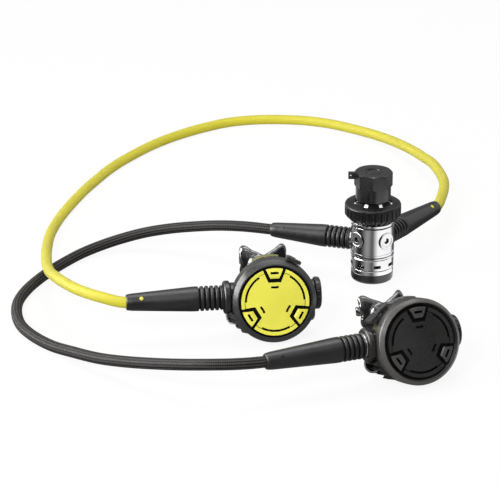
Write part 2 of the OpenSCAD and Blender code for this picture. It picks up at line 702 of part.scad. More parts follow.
module stage_case(body_colour, venturi_angle) {
    color(body_colour)
    difference() {
        union() {
            difference() {
                rotate_extrude() polygon(concat([[0, rim_front], [rim_r, rim_front],
                    [rim_r, ring_back - 0.3], [ring_r - 0.2, ring_back - 0.3]], bowl(0)));
                rotate_extrude() polygon(concat([[0, rim_front + 1],
                    [ring_r - 0.2 - case_wall - 1.4, rim_front + 1],
                    [ring_r - 0.2 - case_wall - 1.4, 6]], bowl(case_wall)));
            }
            along_x(-ring_r + 0.2, -ring_r + 12, boss_l_r);
            along_x(ring_r - 12, ring_r - 0.2, boss_r_r);
            // exhaust boss with its seat
            rotate([180 - exhaust_tilt, 0, 0])
                translate([0, 0, 15]) cylinder(h = exhaust_seat - 15, r = exhaust_r + 1.7);
            // raised pad on top, behind the front ring
            rotate([0, 0, 80]) rotate_extrude(angle = 36) polygon([
                [ring_r - 5, -7], [ring_r - 1.8, -7], [ring_r + 0.5, -5], [ring_r + 0.8, 4],
                [ring_r, 7.5], [ring_r - 1, ring_back - 0.4], [ring_r - 5, ring_back - 0.4]]);
            // spigot for the mouthpiece
            translate([0, spigot_y, spigot_z]) rotate([180 + mouth_tilt, 0, 0])
                linear_extrude(height = spigot_len)
                    oval(mouth_half_w + mouth_wall, mouth_half_h + mouth_wall);
            // seat of the lever on top
            rotate([0, 0, -venturi_angle]) translate([0, ring_r - 3, venturi_z])
                rotate([-90, 0, 0]) cylinder(h = 2.9, r = 4);
        }
        // room for the front ring and for the exhaust valve
        translate([0, 0, ring_back - 0.1]) difference() {
            cylinder(h = 20, r = ring_r + 10);
            translate([0, 0, -1]) cylinder(h = 22, r = rim_r);
        }
        rotate([180 - exhaust_tilt, 0, 0]) translate([0, 0, exhaust_seat])
            cylinder(h = 20, r = exhaust_r + 1.7);
        along_x(-ring_r - cut, ring_r + cut, valve_tube_r + run_fit);
        translate([0, spigot_y, spigot_z]) rotate([180 + mouth_tilt, 0, 0])
            translate([0, 0, -6]) linear_extrude(height = spigot_len + 6 + cut)
                oval(mouth_half_w + 0.4, mouth_half_h + 0.4);
        rotate([0, 0, -venturi_angle]) translate([0, ring_r - 12, venturi_z])
            rotate([-90, 0, 0]) cylinder(h = 14, r = 1.9 + run_fit);
        // gas way through the exhaust boss, left as four windows by its spider
        rotate([180 - exhaust_tilt, 0, 0]) for (k = [0:3]) rotate([0, 0, 45 + 90 * k])
            intersection() {
                translate([0, 0, 10]) difference() {
                    cylinder(h = 20, r = exhaust_r - 1);
                    translate([0, 0, -1]) cylinder(h = 22, r = 2.8);
                }
                translate([0.7, 0.7, 0]) cube([20, 20, 40]);
            }
        rotate([180 - exhaust_tilt, 0, 0]) cylinder(h = 40, r = 1.5);
        // inside of the case, cleared of the bosses
        intersection() {
            rotate_extrude() polygon(concat([[0, rim_front + 1],
                [ring_r - 0.2 - case_wall - 1.4, rim_front + 1],
                [ring_r - 0.2 - case_wall - 1.4, 6]], bowl(case_wall)));
            translate([13 - ring_r, -ring_r - 6, -7])
                cube([2 * (ring_r - 13), 2 * (ring_r + 6), ring_r + 6]);
        }
    }
}

module stage_ring(ring_colour) {
    color(ring_colour)
    rotate_extrude() polygon([
        [rim_r + run_fit, ring_back], [ring_r - 0.3, ring_back], [ring_r, ring_back + 0.4],
        [ring_r, ring_front - 3.8], [ring_r - 0.6, ring_front - 1.7],
        [ring_r - 1.8, ring_front - 0.4], [ring_r - 3, ring_front],
        [ring_r - 3.8, ring_front - 0.2], [cover_r + 0.8, ring_front - 1.4],
        [cover_r + 0.4, ring_front - 1.8],
        [cover_r + 0.4, rim_front + 3.8], [rim_r + run_fit, rim_front + 3.8]]);
}

module claw_outline(grow) {
    polygon([
        [claw_in - grow * 1.5, -claw_w_in / 2 - grow * 0.6],
        [claw_in - grow * 1.5, claw_w_in / 2 + grow * 0.6],
        [cover_r + 0.2, claw_w_out / 2 + grow * 1.2],
        [cover_r + 0.2, -claw_w_out / 2 - grow * 1.2]]);
}

module stage_cover(cover_colour) {
    color(cover_colour)
    difference() {
        union() {
            difference() {
                rotate_extrude() polygon([
                    [button_r + 0.4, rim_front + 1.6], [rim_r - 0.1, rim_front + 1.6],
                    [rim_r - 0.1, rim_front + 3.6], [cover_r, rim_front + 3.7],
                    [cover_r, ring_front - 0.4], [cover_r - 0.8, ring_front],
                    [cover_r - 2, ring_front], [button_r + 0.4, button_front + 0.1]]);
                for (a = claw_angles) rotate([0, 0, a])
                    translate([0, 0, ring_front - 1.6]) linear_extrude(height = 3)
                        claw_outline(claw_gap);
            }
            for (a = claw_angles) rotate([0, 0, a]) intersection() {
                translate([0, 0, claw_back]) linear_extrude(height = claw_front - claw_back)
                    claw_outline(0);
                rotate_extrude() polygon([
                    [0, claw_back - 1], [claw_out, claw_back - 1], [claw_out, ring_front - 0.6],
                    [claw_out - 1.4, ring_front + 0.3], [claw_in + 4.5, claw_front],
                    [claw_in + 2, claw_front], [claw_in - 0.6, claw_front - 1.4],
                    [0, claw_front - 1.4]]);
            }
        }
        for (a = claw_angles) rotate([0, 0, a])
            translate([cover_r - 6, -3.5, claw_back - 1]) cube([2, 7, 10]);
    }
}

module stage_button(button_colour) {
    color(button_colour) {
        translate([0, 0, button_back_z]) cylinder(h = button_back_t, r = button_r - 0.2);
        translate([0, 0, plate_z + plate_t]) cylinder(h = button_back_z - plate_z - plate_t + 0.1, r = 8);
        difference() {
            rotate_extrude() polygon([
                [0, button_back_z + 0.5], [button_r, button_back_z + 0.5],
                [button_r, button_front - 0.3], [button_r - 0.3, button_front],
                [13, button_front + 0.5], [0, button_front + 0.7]]);
            for (a = claw_angles) rotate([0, 0, a])
                translate([0, 0, button_back_z + button_back_t])
                    linear_extrude(height = 20) claw_outline(claw_gap);
        }
    }
}

module stage_diaphragm() {
    color(black_rubber)
    rotate_extrude() polygon([
        [plate_r + 0.2, membrane_z], [button_r + 1.2, membrane_z],
        [button_r + 2.6, rim_front], [rim_r - 0.1, rim_front], [rim_r - 0.1, rim_front + 1.5],
        [button_r + 1.8, rim_front + 1.5], [button_r + 0.4, membrane_z + 1],
        [plate_r + 0.2, membrane_z + 1]]);
}

module stage_plate() {
    color(steel)
    translate([0, 0, plate_z]) cylinder(h = plate_t, r = plate_r);
}

module stage_valve_tube() {
    color(brass)
    difference() {
        union() {
            along_x(-nut_face + 1.4, -nut_x + 0.2, inlet_end_r);
            along_x(-nut_x + 0.2, tube_end_x, valve_tube_r);
        }
        along_x(-nut_face, seat_x + 1, 2.4);
        along_x(seat_x, tube_end_x + cut, valve_bore_r);
        translate([lever_x - 1.6, valve_rise - 2.2, 3]) cube([4.2, 4.4, 6]);
    }
}

module stage_lever() {
    tip_z = plate_z - seat_gap;
    rise = tip_z - 0.6 - lever_z;
    color(steel) {
        translate([lever_x, valve_rise - 6, lever_z]) rotate([-90, 0, 0]) cylinder(h = 12, r = 0.6);
        translate([lever_x - 0.5, valve_rise - 1.8, finger_z]) cube([1, 3.6, lever_z - finger_z]);
        for (s = [-1, 1]) hull() {
            translate([lever_x, valve_rise + s * 5.2, lever_z]) rotate([-90, 0, 0])
                cylinder(h = 1.2, r = 0.6, center = true, $fn = 12);
            translate([-2, s * 1.6, lever_z + rise]) rotate([-90, 0, 0])
                cylinder(h = 2, r = 0.6, center = true, $fn = 12);
        }
        translate([-2, -2.6, lever_z + rise]) rotate([-90, 0, 0]) cylinder(h = 5.2, r = 0.6);
    }
}

module stage_poppet() {
    x1 = seat_x + poppet_len;
    color(brass)
    difference() {
        union() {
            along_x(seat_x + 0.1, seat_x + 7, valve_bore_r - run_fit);
            along_x(seat_x + 6, x1, 2.6);
            along_x(lever_x + 0.7, lever_x + 1.9, 3.8);
        }
        translate([0, valve_rise, 0]) rotate([0, 90, 0]) translate([0, 0, x1 - 2])
            cylinder(h = 3, r = 1.4);
    }
}

module stage_poppet_spring() {
    x0 = seat_x + poppet_len + poppet_lift + 0.1;
    color(steel)
    translate([x0, valve_rise, 0]) rotate([0, 90, 0])
        coil_spring(3.4, valve_wire_r, poppet_spring_len, poppet_turns);
}

module stage_knob() {
    spindle_x = seat_x + poppet_len + poppet_lift + poppet_spring_len + 0.2;
    grips = 18;
    color(black_plastic)
    difference() {
        union() {
            along_x(spindle_x, tube_end_x + 1, valve_bore_r - run_fit);
            along_x(tube_end_x + 0.3, knob_x + 0.1, valve_tube_r - run_fit);
            translate([knob_x, valve_rise, 0]) rotate([0, 90, 0]) rotate_extrude()
                polygon([[0, 0], [knob_r - 0.6, 0], [knob_r, 0.6], [knob_r, knob_h - 2],
                    [knob_r - 0.6, knob_h - 0.7], [knob_r - 2, knob_h], [6, knob_h],
                    [5, knob_h - 0.8], [0, knob_h - 1]]);
        }
        translate([knob_x, valve_rise, 0]) rotate([0, 90, 0])
            for (i = [0:grips - 1]) rotate([0, 0, 360 * i / grips])
                translate([knob_r + 0.7, 0, 1.2]) cylinder(h = knob_h, r = 1.2);
    }
}

module stage_venturi(venturi_angle, turn) {
    tab_y = ring_r + 0.6;
    color(black_plastic)
    rotate([0, 0, -venturi_angle]) translate([0, 0, venturi_z]) rotate([0, turn, 0])
    translate([0, 0, -venturi_z]) {
        translate([0, ring_r - 11, venturi_z]) rotate([-90, 0, 0]) cylinder(h = 14, r = 1.9);
        translate([-5, ring_r - 11, venturi_z - 0.7]) cube([10, 4, 1.4]);
        translate([0, ring_r + 0.2, venturi_z]) rotate([-90, 0, 0]) cylinder(h = 2.8, r = 4);
        translate([-3.2, tab_y + 0.2, venturi_z]) cube([6.4, 2, 10]);
        translate([-6.5, tab_y, ring_back + 1]) difference() {
            cube([13, 2.8, 9]);
            for (k = [0:4]) translate([1.7 + 2.4 * k, 2.8, -1]) cylinder(h = 11, r = 0.5);
        }
    }
}

module stage_exhaust_valve() {
    color(black_rubber)
    rotate([180 - exhaust_tilt, 0, 0]) translate([0, 0, exhaust_seat + 0.05]) {
        rotate_extrude() polygon([[0, 0], [exhaust_r + 1.1, 0], [exhaust_r + 1.1, 0.5],
            [3, 1.2], [0, 1.4]]);
        translate([0, 0, -8]) cylinder(h = 8.1, r = 1.4);
    }
}

// Half of the exhaust tee's body, set in by a wall and run on past its end
module tee_half(side, inset, run) {
    middle = [0, -16, -19];
    bend = [side * (ring_r - 11), -17, -12];
    end = [side * (ring_r - 2.5), -14.5, -5.5];
    along = unit(end - bend);
    tube_r = tee_r - inset;
    hull() {
        translate(middle) sphere(r = tube_r, $fn = 24);
        translate(bend) sphere(r = tube_r, $fn = 24);
    }
    hull() {
        translate(bend) sphere(r = tube_r, $fn = 24);
        translate(end) rotate([0, acos(along.z), atan2(along.y, along.x)])
            translate([0, 0, -0.2]) cylinder(h = run + 0.2, r = tube_r + 0.5, $fn = 24);
    }
}

module stage_tee() {
    wall = 1.4;
    color(black_rubber)
    difference() {
        union() {
            for (side = [-1, 1]) tee_half(side, 0, 0);
            rotate([180 - exhaust_tilt, 0, 0]) translate([0, 0, 17])
                cylinder(h = exhaust_end - 17, r = exhaust_r + 1.8 + wall);
        }
        for (side = [-1, 1]) tee_half(side, wall, 1);
        // louvres on the underside of the wings
        for (side = [-1, 1], k = [0:3])
            translate([side * (19.5 + 3.2 * k), -26, -8]) cube([1.4, 9.6, 30], center = true);
        // chamber that fits over the exhaust boss
        rotate([180 - exhaust_tilt, 0, 0]) translate([0, 0, 5])
            cylinder(h = exhaust_end - wall - 5, r = exhaust_r + 1.8);
        // room for the bowl of the case and its side bosses
        along_x(-ring_r - 9, 0, boss_l_r + 0.2);
        along_x(0, ring_r + 9, boss_r_r + 0.2);
        rotate_extrude() polygon(concat([[0, ring_back + 1],
            [ring_r + 0.1, ring_back + 1]], bowl(-0.3)));
    }
}

module stage_mouthpiece() {
    inner_w = mouth_half_w;
    inner_h = mouth_half_h;
    grip_w = mouth_half_w + mouth_wall + 0.05;
    grip_h = mouth_half_h + mouth_wall + 0.05;
    color(black_rubber)
    translate([0, spigot_y, spigot_z]) rotate([180 + mouth_tilt, 0, 0])
    difference() {
        union() {
            translate([0, 0, 8.5]) linear_extrude(height = 11.5)
                oval(grip_w + mouth_wall, grip_h + mouth_wall);
            translate([0, 0, 19.9]) linear_extrude(height = flange_s - 19.9 + 1)
                oval(inner_w + mouth_wall, inner_h + mouth_wall);
            // lip shield with a notch for the upper lip; its y runs downwards
            translate([0, 0, flange_s]) linear_extrude(height = 2.4)
                polygon(smooth_loop(concat(shield,
                    [for (i = [len(shield) - 2:-1:1]) [-shield[i].x, shield[i].y]]), 3));
            // bite tabs
            for (s = [-1, 1]) translate([s * 15.5, 0, flange_s]) {
                linear_extrude(height = bite_len) translate([-4.5, -2]) square([9, 4]);
                translate([0, 0, bite_len - 3]) linear_extrude(height = 3)
                    translate([-4.5, -4]) square([9, 8]);
            }
        }
        translate([0, 0, 6]) linear_extrude(height = spigot_len - 6 + 0.4) oval(grip_w, grip_h);
        translate([0, 0, 6]) linear_extrude(height = 60) oval(inner_w, inner_h);
    }
}

module stage_clamp() {
    in_w = mouth_half_w + 2 * mouth_wall + 0.1;
    in_h = mouth_half_h + 2 * mouth_wall + 0.1;
    color(black_plastic)
    translate([0, spigot_y, spigot_z]) rotate([180 + mouth_tilt, 0, 0])
    translate([0, 0, 11]) difference() {
        union() {
            linear_extrude(height = 3.6) oval(in_w + 1.1, in_h + 1.1);
            translate([-in_w - 3.6, -3, -0.6]) cube([4, 6, 4.8]);
        }
        translate([0, 0, -1]) linear_extrude(height = 8) oval(in_w, in_h);
    }
}

echo(main_spring_gap = least_gap(
    coil_line(spring_bore_r - 2.8, main_wire_r, pad_z - spring_z0, main_turns), main_wire_r));
echo(valve_spring_gap = least_gap(
    coil_line(3.4, valve_wire_r, valve_spring_top - valve_spring_z, valve_turns), valve_wire_r));
echo(poppet_spring_gap = least_gap(
    coil_line(3.4, valve_wire_r, poppet_spring_len, poppet_turns), valve_wire_r));

base_cap();
spring_carrier();
adjusting_screw();
main_spring();
spring_pad();
first_stage_diaphragm();
push_pin();
first_stage_body();
pressure_valve();
valve_spring();
port_plugs();
din_connector();
inlet_filter();
din_o_ring();
din_screw();
din_handwheel();
dust_cap();
black_hose_fitting();
black_hose_first_sleeve();
black_hose();
black_hose_second_sleeve();
black_hose_nut();
yellow_hose_fitting();
yellow_hose_first_sleeve();
yellow_hose();
yellow_hose_second_sleeve();
yellow_hose_nut();
place_primary() stage_case(grey_plastic, primary_venturi);  // primary_case
place_primary() stage_ring(grey_plastic);  // primary_ring
place_primary() stage_cover(black_plastic);  // primary_cover
place_primary() stage_button(black_plastic);  // primary_purge_button
place_primary() stage_diaphragm();  // primary_diaphragm
place_primary() stage_plate();  // primary_diaphragm_plate
place_primary() stage_valve_tube();  // primary_valve_tube
place_primary() stage_lever();  // primary_demand_lever
place_primary() stage_poppet();  // primary_poppet
place_primary() stage_poppet_spring();  // primary_poppet_spring
place_primary() stage_knob();  // primary_effort_knob
place_primary() stage_venturi(primary_venturi, primary_venturi_turn);  // primary_venturi_lever
place_primary() stage_exhaust_valve();  // primary_exhaust_valve
place_primary() stage_tee();  // primary_exhaust_tee
place_primary() stage_mouthpiece();  // primary_mouthpiece
place_primary() stage_clamp();  // primary_mouthpiece_clamp
place_octopus() stage_case(grey_plastic, octopus_venturi);  // octopus_case
place_octopus() stage_ring(grey_plastic);  // octopus_ring
place_octopus() stage_cover(yellow);  // octopus_cover
place_octopus() stage_button(yellow);  // octopus_purge_button
place_octopus() stage_diaphragm();  // octopus_diaphragm
place_octopus() stage_plate();  // octopus_diaphragm_plate
place_octopus() stage_valve_tube();  // octopus_valve_tube
place_octopus() stage_lever();  // octopus_demand_lever
place_octopus() stage_poppet();  // octopus_poppet
place_octopus() stage_poppet_spring();  // octopus_poppet_spring
place_octopus() stage_knob();  // octopus_effort_knob
place_octopus() stage_venturi(octopus_venturi, 0);  // octopus_venturi_lever
place_octopus() stage_exhaust_valve();  // octopus_exhaust_valve
place_octopus() stage_tee();  // octopus_exhaust_tee
place_octopus() stage_mouthpiece();  // octopus_mouthpiece
place_octopus() stage_clamp();  // octopus_mouthpiece_clamp
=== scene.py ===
"""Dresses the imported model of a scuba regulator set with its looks.

Sizes are in millimetres inside the classes and in metres in Blender. Every piece keeps its place in its mesh.
"""

import json
import logging
import math
from collections.abc import Callable
from dataclasses import dataclass
from enum import Enum

import bmesh
import bpy
import numpy as np
from mathutils import Matrix


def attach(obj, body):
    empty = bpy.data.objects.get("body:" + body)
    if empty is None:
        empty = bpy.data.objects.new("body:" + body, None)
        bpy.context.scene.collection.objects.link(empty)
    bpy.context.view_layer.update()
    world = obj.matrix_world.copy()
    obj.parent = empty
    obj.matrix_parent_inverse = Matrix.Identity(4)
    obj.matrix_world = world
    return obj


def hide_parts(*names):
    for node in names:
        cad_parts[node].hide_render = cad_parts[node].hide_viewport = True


log = logging.getLogger("regulator_set")
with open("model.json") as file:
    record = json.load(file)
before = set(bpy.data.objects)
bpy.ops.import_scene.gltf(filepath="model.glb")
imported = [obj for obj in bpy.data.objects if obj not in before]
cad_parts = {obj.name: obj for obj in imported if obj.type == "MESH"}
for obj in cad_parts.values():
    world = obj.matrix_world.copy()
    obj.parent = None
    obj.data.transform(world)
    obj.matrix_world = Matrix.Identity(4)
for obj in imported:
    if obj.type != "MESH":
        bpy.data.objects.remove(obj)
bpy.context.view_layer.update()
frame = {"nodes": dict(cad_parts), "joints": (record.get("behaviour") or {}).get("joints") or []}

Point = tuple[float, float, float]
Colour = tuple[float, float, float]
MM = 0.001
WHITE = (1.0, 1.0, 1.0, 1.0)
CLOUDS = 38.0  # soft clouds on plastic and rubber in a metre
SMUDGES = 420.0  # finer smudges in a metre


# ---------------------------------------------------------------- surfaces


@dataclass
class Surface:
    """A mesh worked out as whole arrays, in millimetres.

    Attributes:
        points: corner positions, one row each.
        faces: corner numbers of each face, wound outwards.
        uv: one pair for each face corner in order, or None.
    """

    points: np.ndarray
    faces: list[list[int]]
    uv: np.ndarray | None = None

    def placed(self, matrix: np.ndarray) -> "Surface":
        """Carries the surface to its place: each point p becomes M p + t.

        Args:
            matrix: 4 by 4 matrix with its translation in millimetres.

        Returns:
            The surface in its place.
        """
        moved = self.points @ matrix[:3, :3].T + matrix[:3, 3]
        return Surface(moved, self.faces, self.uv)

    def to_object(self, name: str, smooth: bool = True) -> bpy.types.Object:
        """Puts the surface into a new object at the origin, with its faces turned outwards.

        Args:
            name: the object's name.
            smooth: whether its faces are shaded smooth.

        Returns:
            The new object.
        """
        mesh = bpy.data.meshes.new(name)
        mesh.from_pydata((self.points * MM).tolist(), [], self.faces)
        if self.uv is not None:
            layer = mesh.uv_layers.new(name="weave")
            layer.data.foreach_set("uv", self.uv.astype(np.float32).ravel())
        else:
            turn_outwards(mesh)
        mesh.polygons.foreach_set("use_smooth", np.full(len(mesh.polygons), smooth))
        mesh.update()
        return put(name, mesh)


def put(name: str, data: bpy.types.ID) -> bpy.types.Object:
    """Puts a mesh, lamp or camera into the scene.

    Args:
        name: the new object's name.
        data: the mesh, lamp or camera.

    Returns:
        The new object.
    """
    made = bpy.data.objects.new(name, data)
    bpy.context.scene.collection.objects.link(made)
    return made


def read(items: bpy.types.bpy_prop_collection, name: str) -> np.ndarray:
    """Reads one vector of every item of a mesh.

    Args:
        items: its corners or its faces.
        name: the vector's name.

    Returns:
        One row of three numbers for each item.
    """
    flat = np.empty(len(items) * 3, dtype=np.float32)
    items.foreach_get(name, flat)
    return flat.reshape(-1, 3)


def turn_outwards(mesh: bpy.types.Mesh) -> None:
    """Turns the faces of a closed mesh outwards.

    Args:
        mesh: the mesh to change.
    """
    work = bmesh.new()
    work.from_mesh(mesh)
    bmesh.ops.recalc_face_normals(work, faces=work.faces)
    work.to_mesh(mesh)
    work.free()


def grid_faces(rows: int, columns: int, close_rows: bool = False) -> np.ndarray:
    """Corner numbers of the faces between the rings of a grid that closes round each ring.

    Args:
        rows: number of rings.
        columns: number of points round a ring.
        close_rows: whether the last ring joins the first.

    Returns:
        One row of four numbers for each face.
    """
    row = np.arange(rows if close_rows else rows - 1)[:, None]
    column = np.arange(columns)[None, :]
    after = (row + 1) % rows
    beside = (column + 1) % columns
    return np.stack([
        row * columns + column, row * columns + beside,
        after * columns + beside, after * columns + column], axis=-1).reshape(-1, 4)


def closed_faces(rows: int, columns: int) -> list[list[int]]:
    """The same faces with one more on each end, so that the grid is a closed form.

    Args:
        rows: number of rings.
        columns: number of points round a ring.

    Returns:
        The corner numbers of each face.
    """
    last = (rows - 1) * columns
    ends = [list(range(columns))[::-1], list(range(last, last + columns))]
    return grid_faces(rows, columns).tolist() + ends


def rounded(outline: np.ndarray, radius: float, steps: int = 4) -> np.ndarray:
    """Rounds the corners of a closed outline.

    Each corner c between neighbours a and b becomes a curve from A to B, which are c moved towards a and
    towards b by the radius or 0.45 of the shorter side: (1-s)^2 A + 2 s (1-s) c + s^2 B.

    Args:
        outline: its corners, one row each.
        radius: how far each curve starts from its corner.
        steps: points on each curve.

    Returns:
        The points of the rounded outline.
    """
    before = np.roll(outline, 1, axis=0)
    after = np.roll(outline, -1, axis=0)
    back, ahead = before - outline, after - outline
    back_len = np.linalg.norm(back, axis=1, keepdims=True)
    ahead_len = np.linalg.norm(ahead, axis=1, keepdims=True)
    reach = np.minimum(radius, 0.45 * np.minimum(back_len, ahead_len))
    start = outline + back / back_len * reach
    end = outline + ahead / ahead_len * reach
    s = np.linspace(0, 1, steps)[None, :, None]
    curve = (1 - s) ** 2 * start[:, None] + 2 * s * (1 - s) * outline[:, None] + s ** 2 * end[:, None]
    return curve.reshape(-1, outline.shape[1])


def turned(outline: np.ndarray, segments: int = 96) -> Surface:
    """A solid turned about the z axis: point (r, z) at angle a lies at (r cos a, r sin a, z).

    Args:
        outline: the closed half section as (r, z) rows, clear of the axis.
        segments: faces round the axis.

    Returns:
        The turned surface.
    """
    angle = 2 * np.pi * np.arange(segments) / segments
    r, z = outline[:, 0:1], outline[:, 1:2]
    points = np.stack([r * np.cos(angle), r * np.sin(angle), z + 0 * angle], axis=-1)
    return Surface(points.reshape(-1, 3), grid_faces(len(outline), segments, True).tolist())


def swept(line: np.ndarray, radius: float, sides: int) -> Surface:
    """A round tube along a line, with its weave's coordinates.

    Ring i is the line's point i plus radius (cos a u + sin a v), where u lies level and square to the line,
    and v is square to both. The first coordinate counts turns round the tube, and the second is the length
    over 2 pi radius.

    Args:
        line: points along the middle of the tube.
        radius: the tube's radius.
        sides: faces round it.

    Returns:
        The closed tube.
    """
    ahead = np.gradient(line, axis=0)
    ahead /= np.linalg.norm(ahead, axis=1, keepdims=True)
    u = np.cross(ahead, [0.0, 0.0, 1.0])
    u /= np.linalg.norm(u, axis=1, keepdims=True)
    v = np.cross(u, ahead)
    angle = 2 * np.pi * np.arange(sides) / sides
    ring = np.cos(angle)[None, :, None] * u[:, None] + np.sin(angle)[None, :, None] * v[:, None]
    points = (line[:, None] + radius * ring).reshape(-1, 3)
    length = np.concatenate([[0], np.cumsum(np.linalg.norm(np.diff(line, axis=0), axis=1))])
    along = length / (2 * np.pi * radius)
    row, column = np.divmod(np.arange((len(line) - 1) * sides), sides)
    uv = np.stack([
        np.stack([column, column + 1, column + 1, column], axis=1) / sides,
        np.stack([along[row], along[row], along[row + 1], along[row + 1]], axis=1)], axis=-1)
    ends = np.zeros((2 * sides, 2))
    return Surface(points, closed_faces(len(line), sides), np.vstack([uv.reshape(-1, 2), ends]))


def smooth_line(points: np.ndarray, step: float) -> np.ndarray:
    """A smooth curve through points: cubic pieces whose slopes weigh both neighbours by the other's length.

    Args:
        points: the points to pass.
        step: spacing of the new points, about.

    Returns:
        The points of the curve.
    """
    side = np.diff(points, axis=0)
    length = np.linalg.norm(side, axis=1)
    slope = side / length[:, None]
    both = (length[1:] + length[:-1])[:, None]
    inner = (slope[:-1] * length[1:, None] + slope[1:] * length[:-1, None]) / both
    tangent = np.vstack([slope[:1], inner, slope[-1:]])
    parts = []
    for i, h in enumerate(length):
        count = max(2, round(h / step))
        t = (np.arange(count) / count)[:, None]
        parts.append(
            (2 * t**3 - 3 * t**2 + 1) * points[i] + (t**3 - 2 * t**2 + t) * h * tangent[i]
            + (3 * t**2 - 2 * t**3) * points[i + 1] + (t**3 - t**2) * h * tangent[i + 1])
    return np.vstack(parts + [points[-1:]])


def axis_frame(origin: np.ndarray, along: np.ndarray) -> np.ndarray:
    """A placement whose z axis runs along a direction.

    Args:
        origin: where it starts, in millimetres.
        along: the direction of its z axis.

    Returns:
        The 4 by 4 matrix.
    """
    z = along / np.linalg.norm(along)
    x = np.cross([0.0, 0.0, 1.0], z)
    x = x / np.linalg.norm(x) if np.linalg.norm(x) > 1e-6 else np.array([1.0, 0.0, 0.0])
    matrix = np.eye(4)
    matrix[:3, 0], matrix[:3, 1], matrix[:3, 2], matrix[:3, 3] = x, np.cross(z, x), z, origin
    return matrix


# ---------------------------------------------------------------- finishes


class Nodes:
    """Short calls for the nodes of one material."""

    def __init__(self, name: str) -> None:
        """Starts an empty material with its shader.

        Args:
            name: the material's name.
        """
        self.material = bpy.data.materials.new(name)
        self.material.use_nodes = True
        self.tree = self.material.node_tree
        self.shader = self.tree.nodes["Principled BSDF"]
        self.place = self.tree.nodes.new("ShaderNodeTexCoord")

    def node(self, kind: str, inputs: dict, **settings: object) -> bpy.types.Node:
        """Adds a node and fills its sockets.

        Args:
            kind: the node's type, without its ShaderNode start.
            inputs: socket name or number to a value or to another socket.
            settings: properties of the node.

        Returns:
            The new node.
        """
        made = self.tree.nodes.new("ShaderNode" + kind)
        for key, value in settings.items():
            setattr(made, key, value)
        for key, value in inputs.items():
            self.fill(made.inputs[key], value)
        return made

    def fill(self, socket: bpy.types.NodeSocket, value: object) -> None:
        """Links or sets one socket.

        Args:
            socket: the socket to fill.
            value: a value or another node's output.
        """
        if isinstance(value, bpy.types.NodeSocket):
            self.tree.links.new(value, socket)
        else:
            socket.default_value = value

    def math(self, how: str, a: object, b: object = 0.0) -> bpy.types.NodeSocket:
        """The result of one sum.

        Args:
            how: the operation.
            a: first number or socket.
            b: second number or socket.

        Returns:
            The result's socket.
        """
        return self.node("Math", {0: a, 1: b}, operation=how).outputs[0]

    def noise(self, scale: float, detail: float) -> bpy.types.NodeSocket:
        """Cloudy noise on object coordinates.

        Args:
            scale: repeats in a metre.
            detail: number of finer layers.

        Returns:
            The noise, about 0.5 in the mean.
        """
        return self.node("TexNoise", {
            "Vector": self.place.outputs["Object"], "Scale": scale, "Detail": detail,
            "Roughness": 0.55}).outputs["Fac"]

    def range(self, value: object, low: float, high: float, new_low: float,
              new_high: float) -> bpy.types.NodeSocket:
        """Carries a value from one range to another.

        Args:
            value: the value's socket.
            low: where the old range starts.
            high: where it ends.
            new_low: the result at low.
            new_high: the result at high.

        Returns:
            The result's socket.
        """
        return self.node("MapRange", {0: value, 1: low, 2: high, 3: new_low, 4: new_high}).outputs[0]

    def blend(self, share: object, first: object, second: object) -> bpy.types.NodeSocket:
        """Mixes two colours.

        Args:
            share: how much of the second shows.
            first: first colour or socket.
            second: second colour or socket.

        Returns:
            The mixed colour's socket.
        """
        made = self.node("Mix", {0: share, 6: full(first), 7: full(second)}, data_type="RGBA")
        return made.outputs[2]

    def bump(self, height: object, distance: float, strength: float) -> bpy.types.NodeSocket:
        """Makes the surface uneven without moving it.

        Args:
            height: the height's socket.
            distance: its size in metres.
            strength: how much of it shows.

        Returns:
            The normal's socket.
        """
        return self.node("Bump", {"Height": height, "Distance": distance, "Strength": strength}).outputs[0]

    def glow(self, strength: object) -> bpy.types.NodeSocket:
        """A white glow.

        Args:
            strength: its brightness, or a socket that gives it.

        Returns:
            The glow's socket.
        """
        return self.node("Emission", {"Color": WHITE, "Strength": strength}).outputs[0]

    def shade(self, inputs: dict) -> bpy.types.Material:
        """Fills the shader's sockets.

        Args:
            inputs: socket name to a value or to another socket.

        Returns:
            The finished material.
        """
        for key, value in inputs.items():
            self.fill(self.shader.inputs[key], value)
        return self.material

    def show(self, surface: bpy.types.NodeSocket) -> bpy.types.Material:
        """Makes a shader what the material shows.

        Args:
            surface: the shader's socket.

        Returns:
            The finished material.
        """
        self.fill(self.tree.nodes["Material Output"].inputs["Surface"], surface)
        return self.material


class SkyNodes(Nodes):
    """The same short calls for the nodes of the world."""

    def __init__(self, world: bpy.types.World) -> None:
        """Takes the world's own nodes.

        Args:
            world: the world.
        """
        world.use_nodes = True
        self.tree = world.node_tree


def full(colour: object) -> object:
    """Gives a plain colour its alpha; a socket stays as it is."""
    return (*colour, 1.0) if isinstance(colour, tuple) else colour


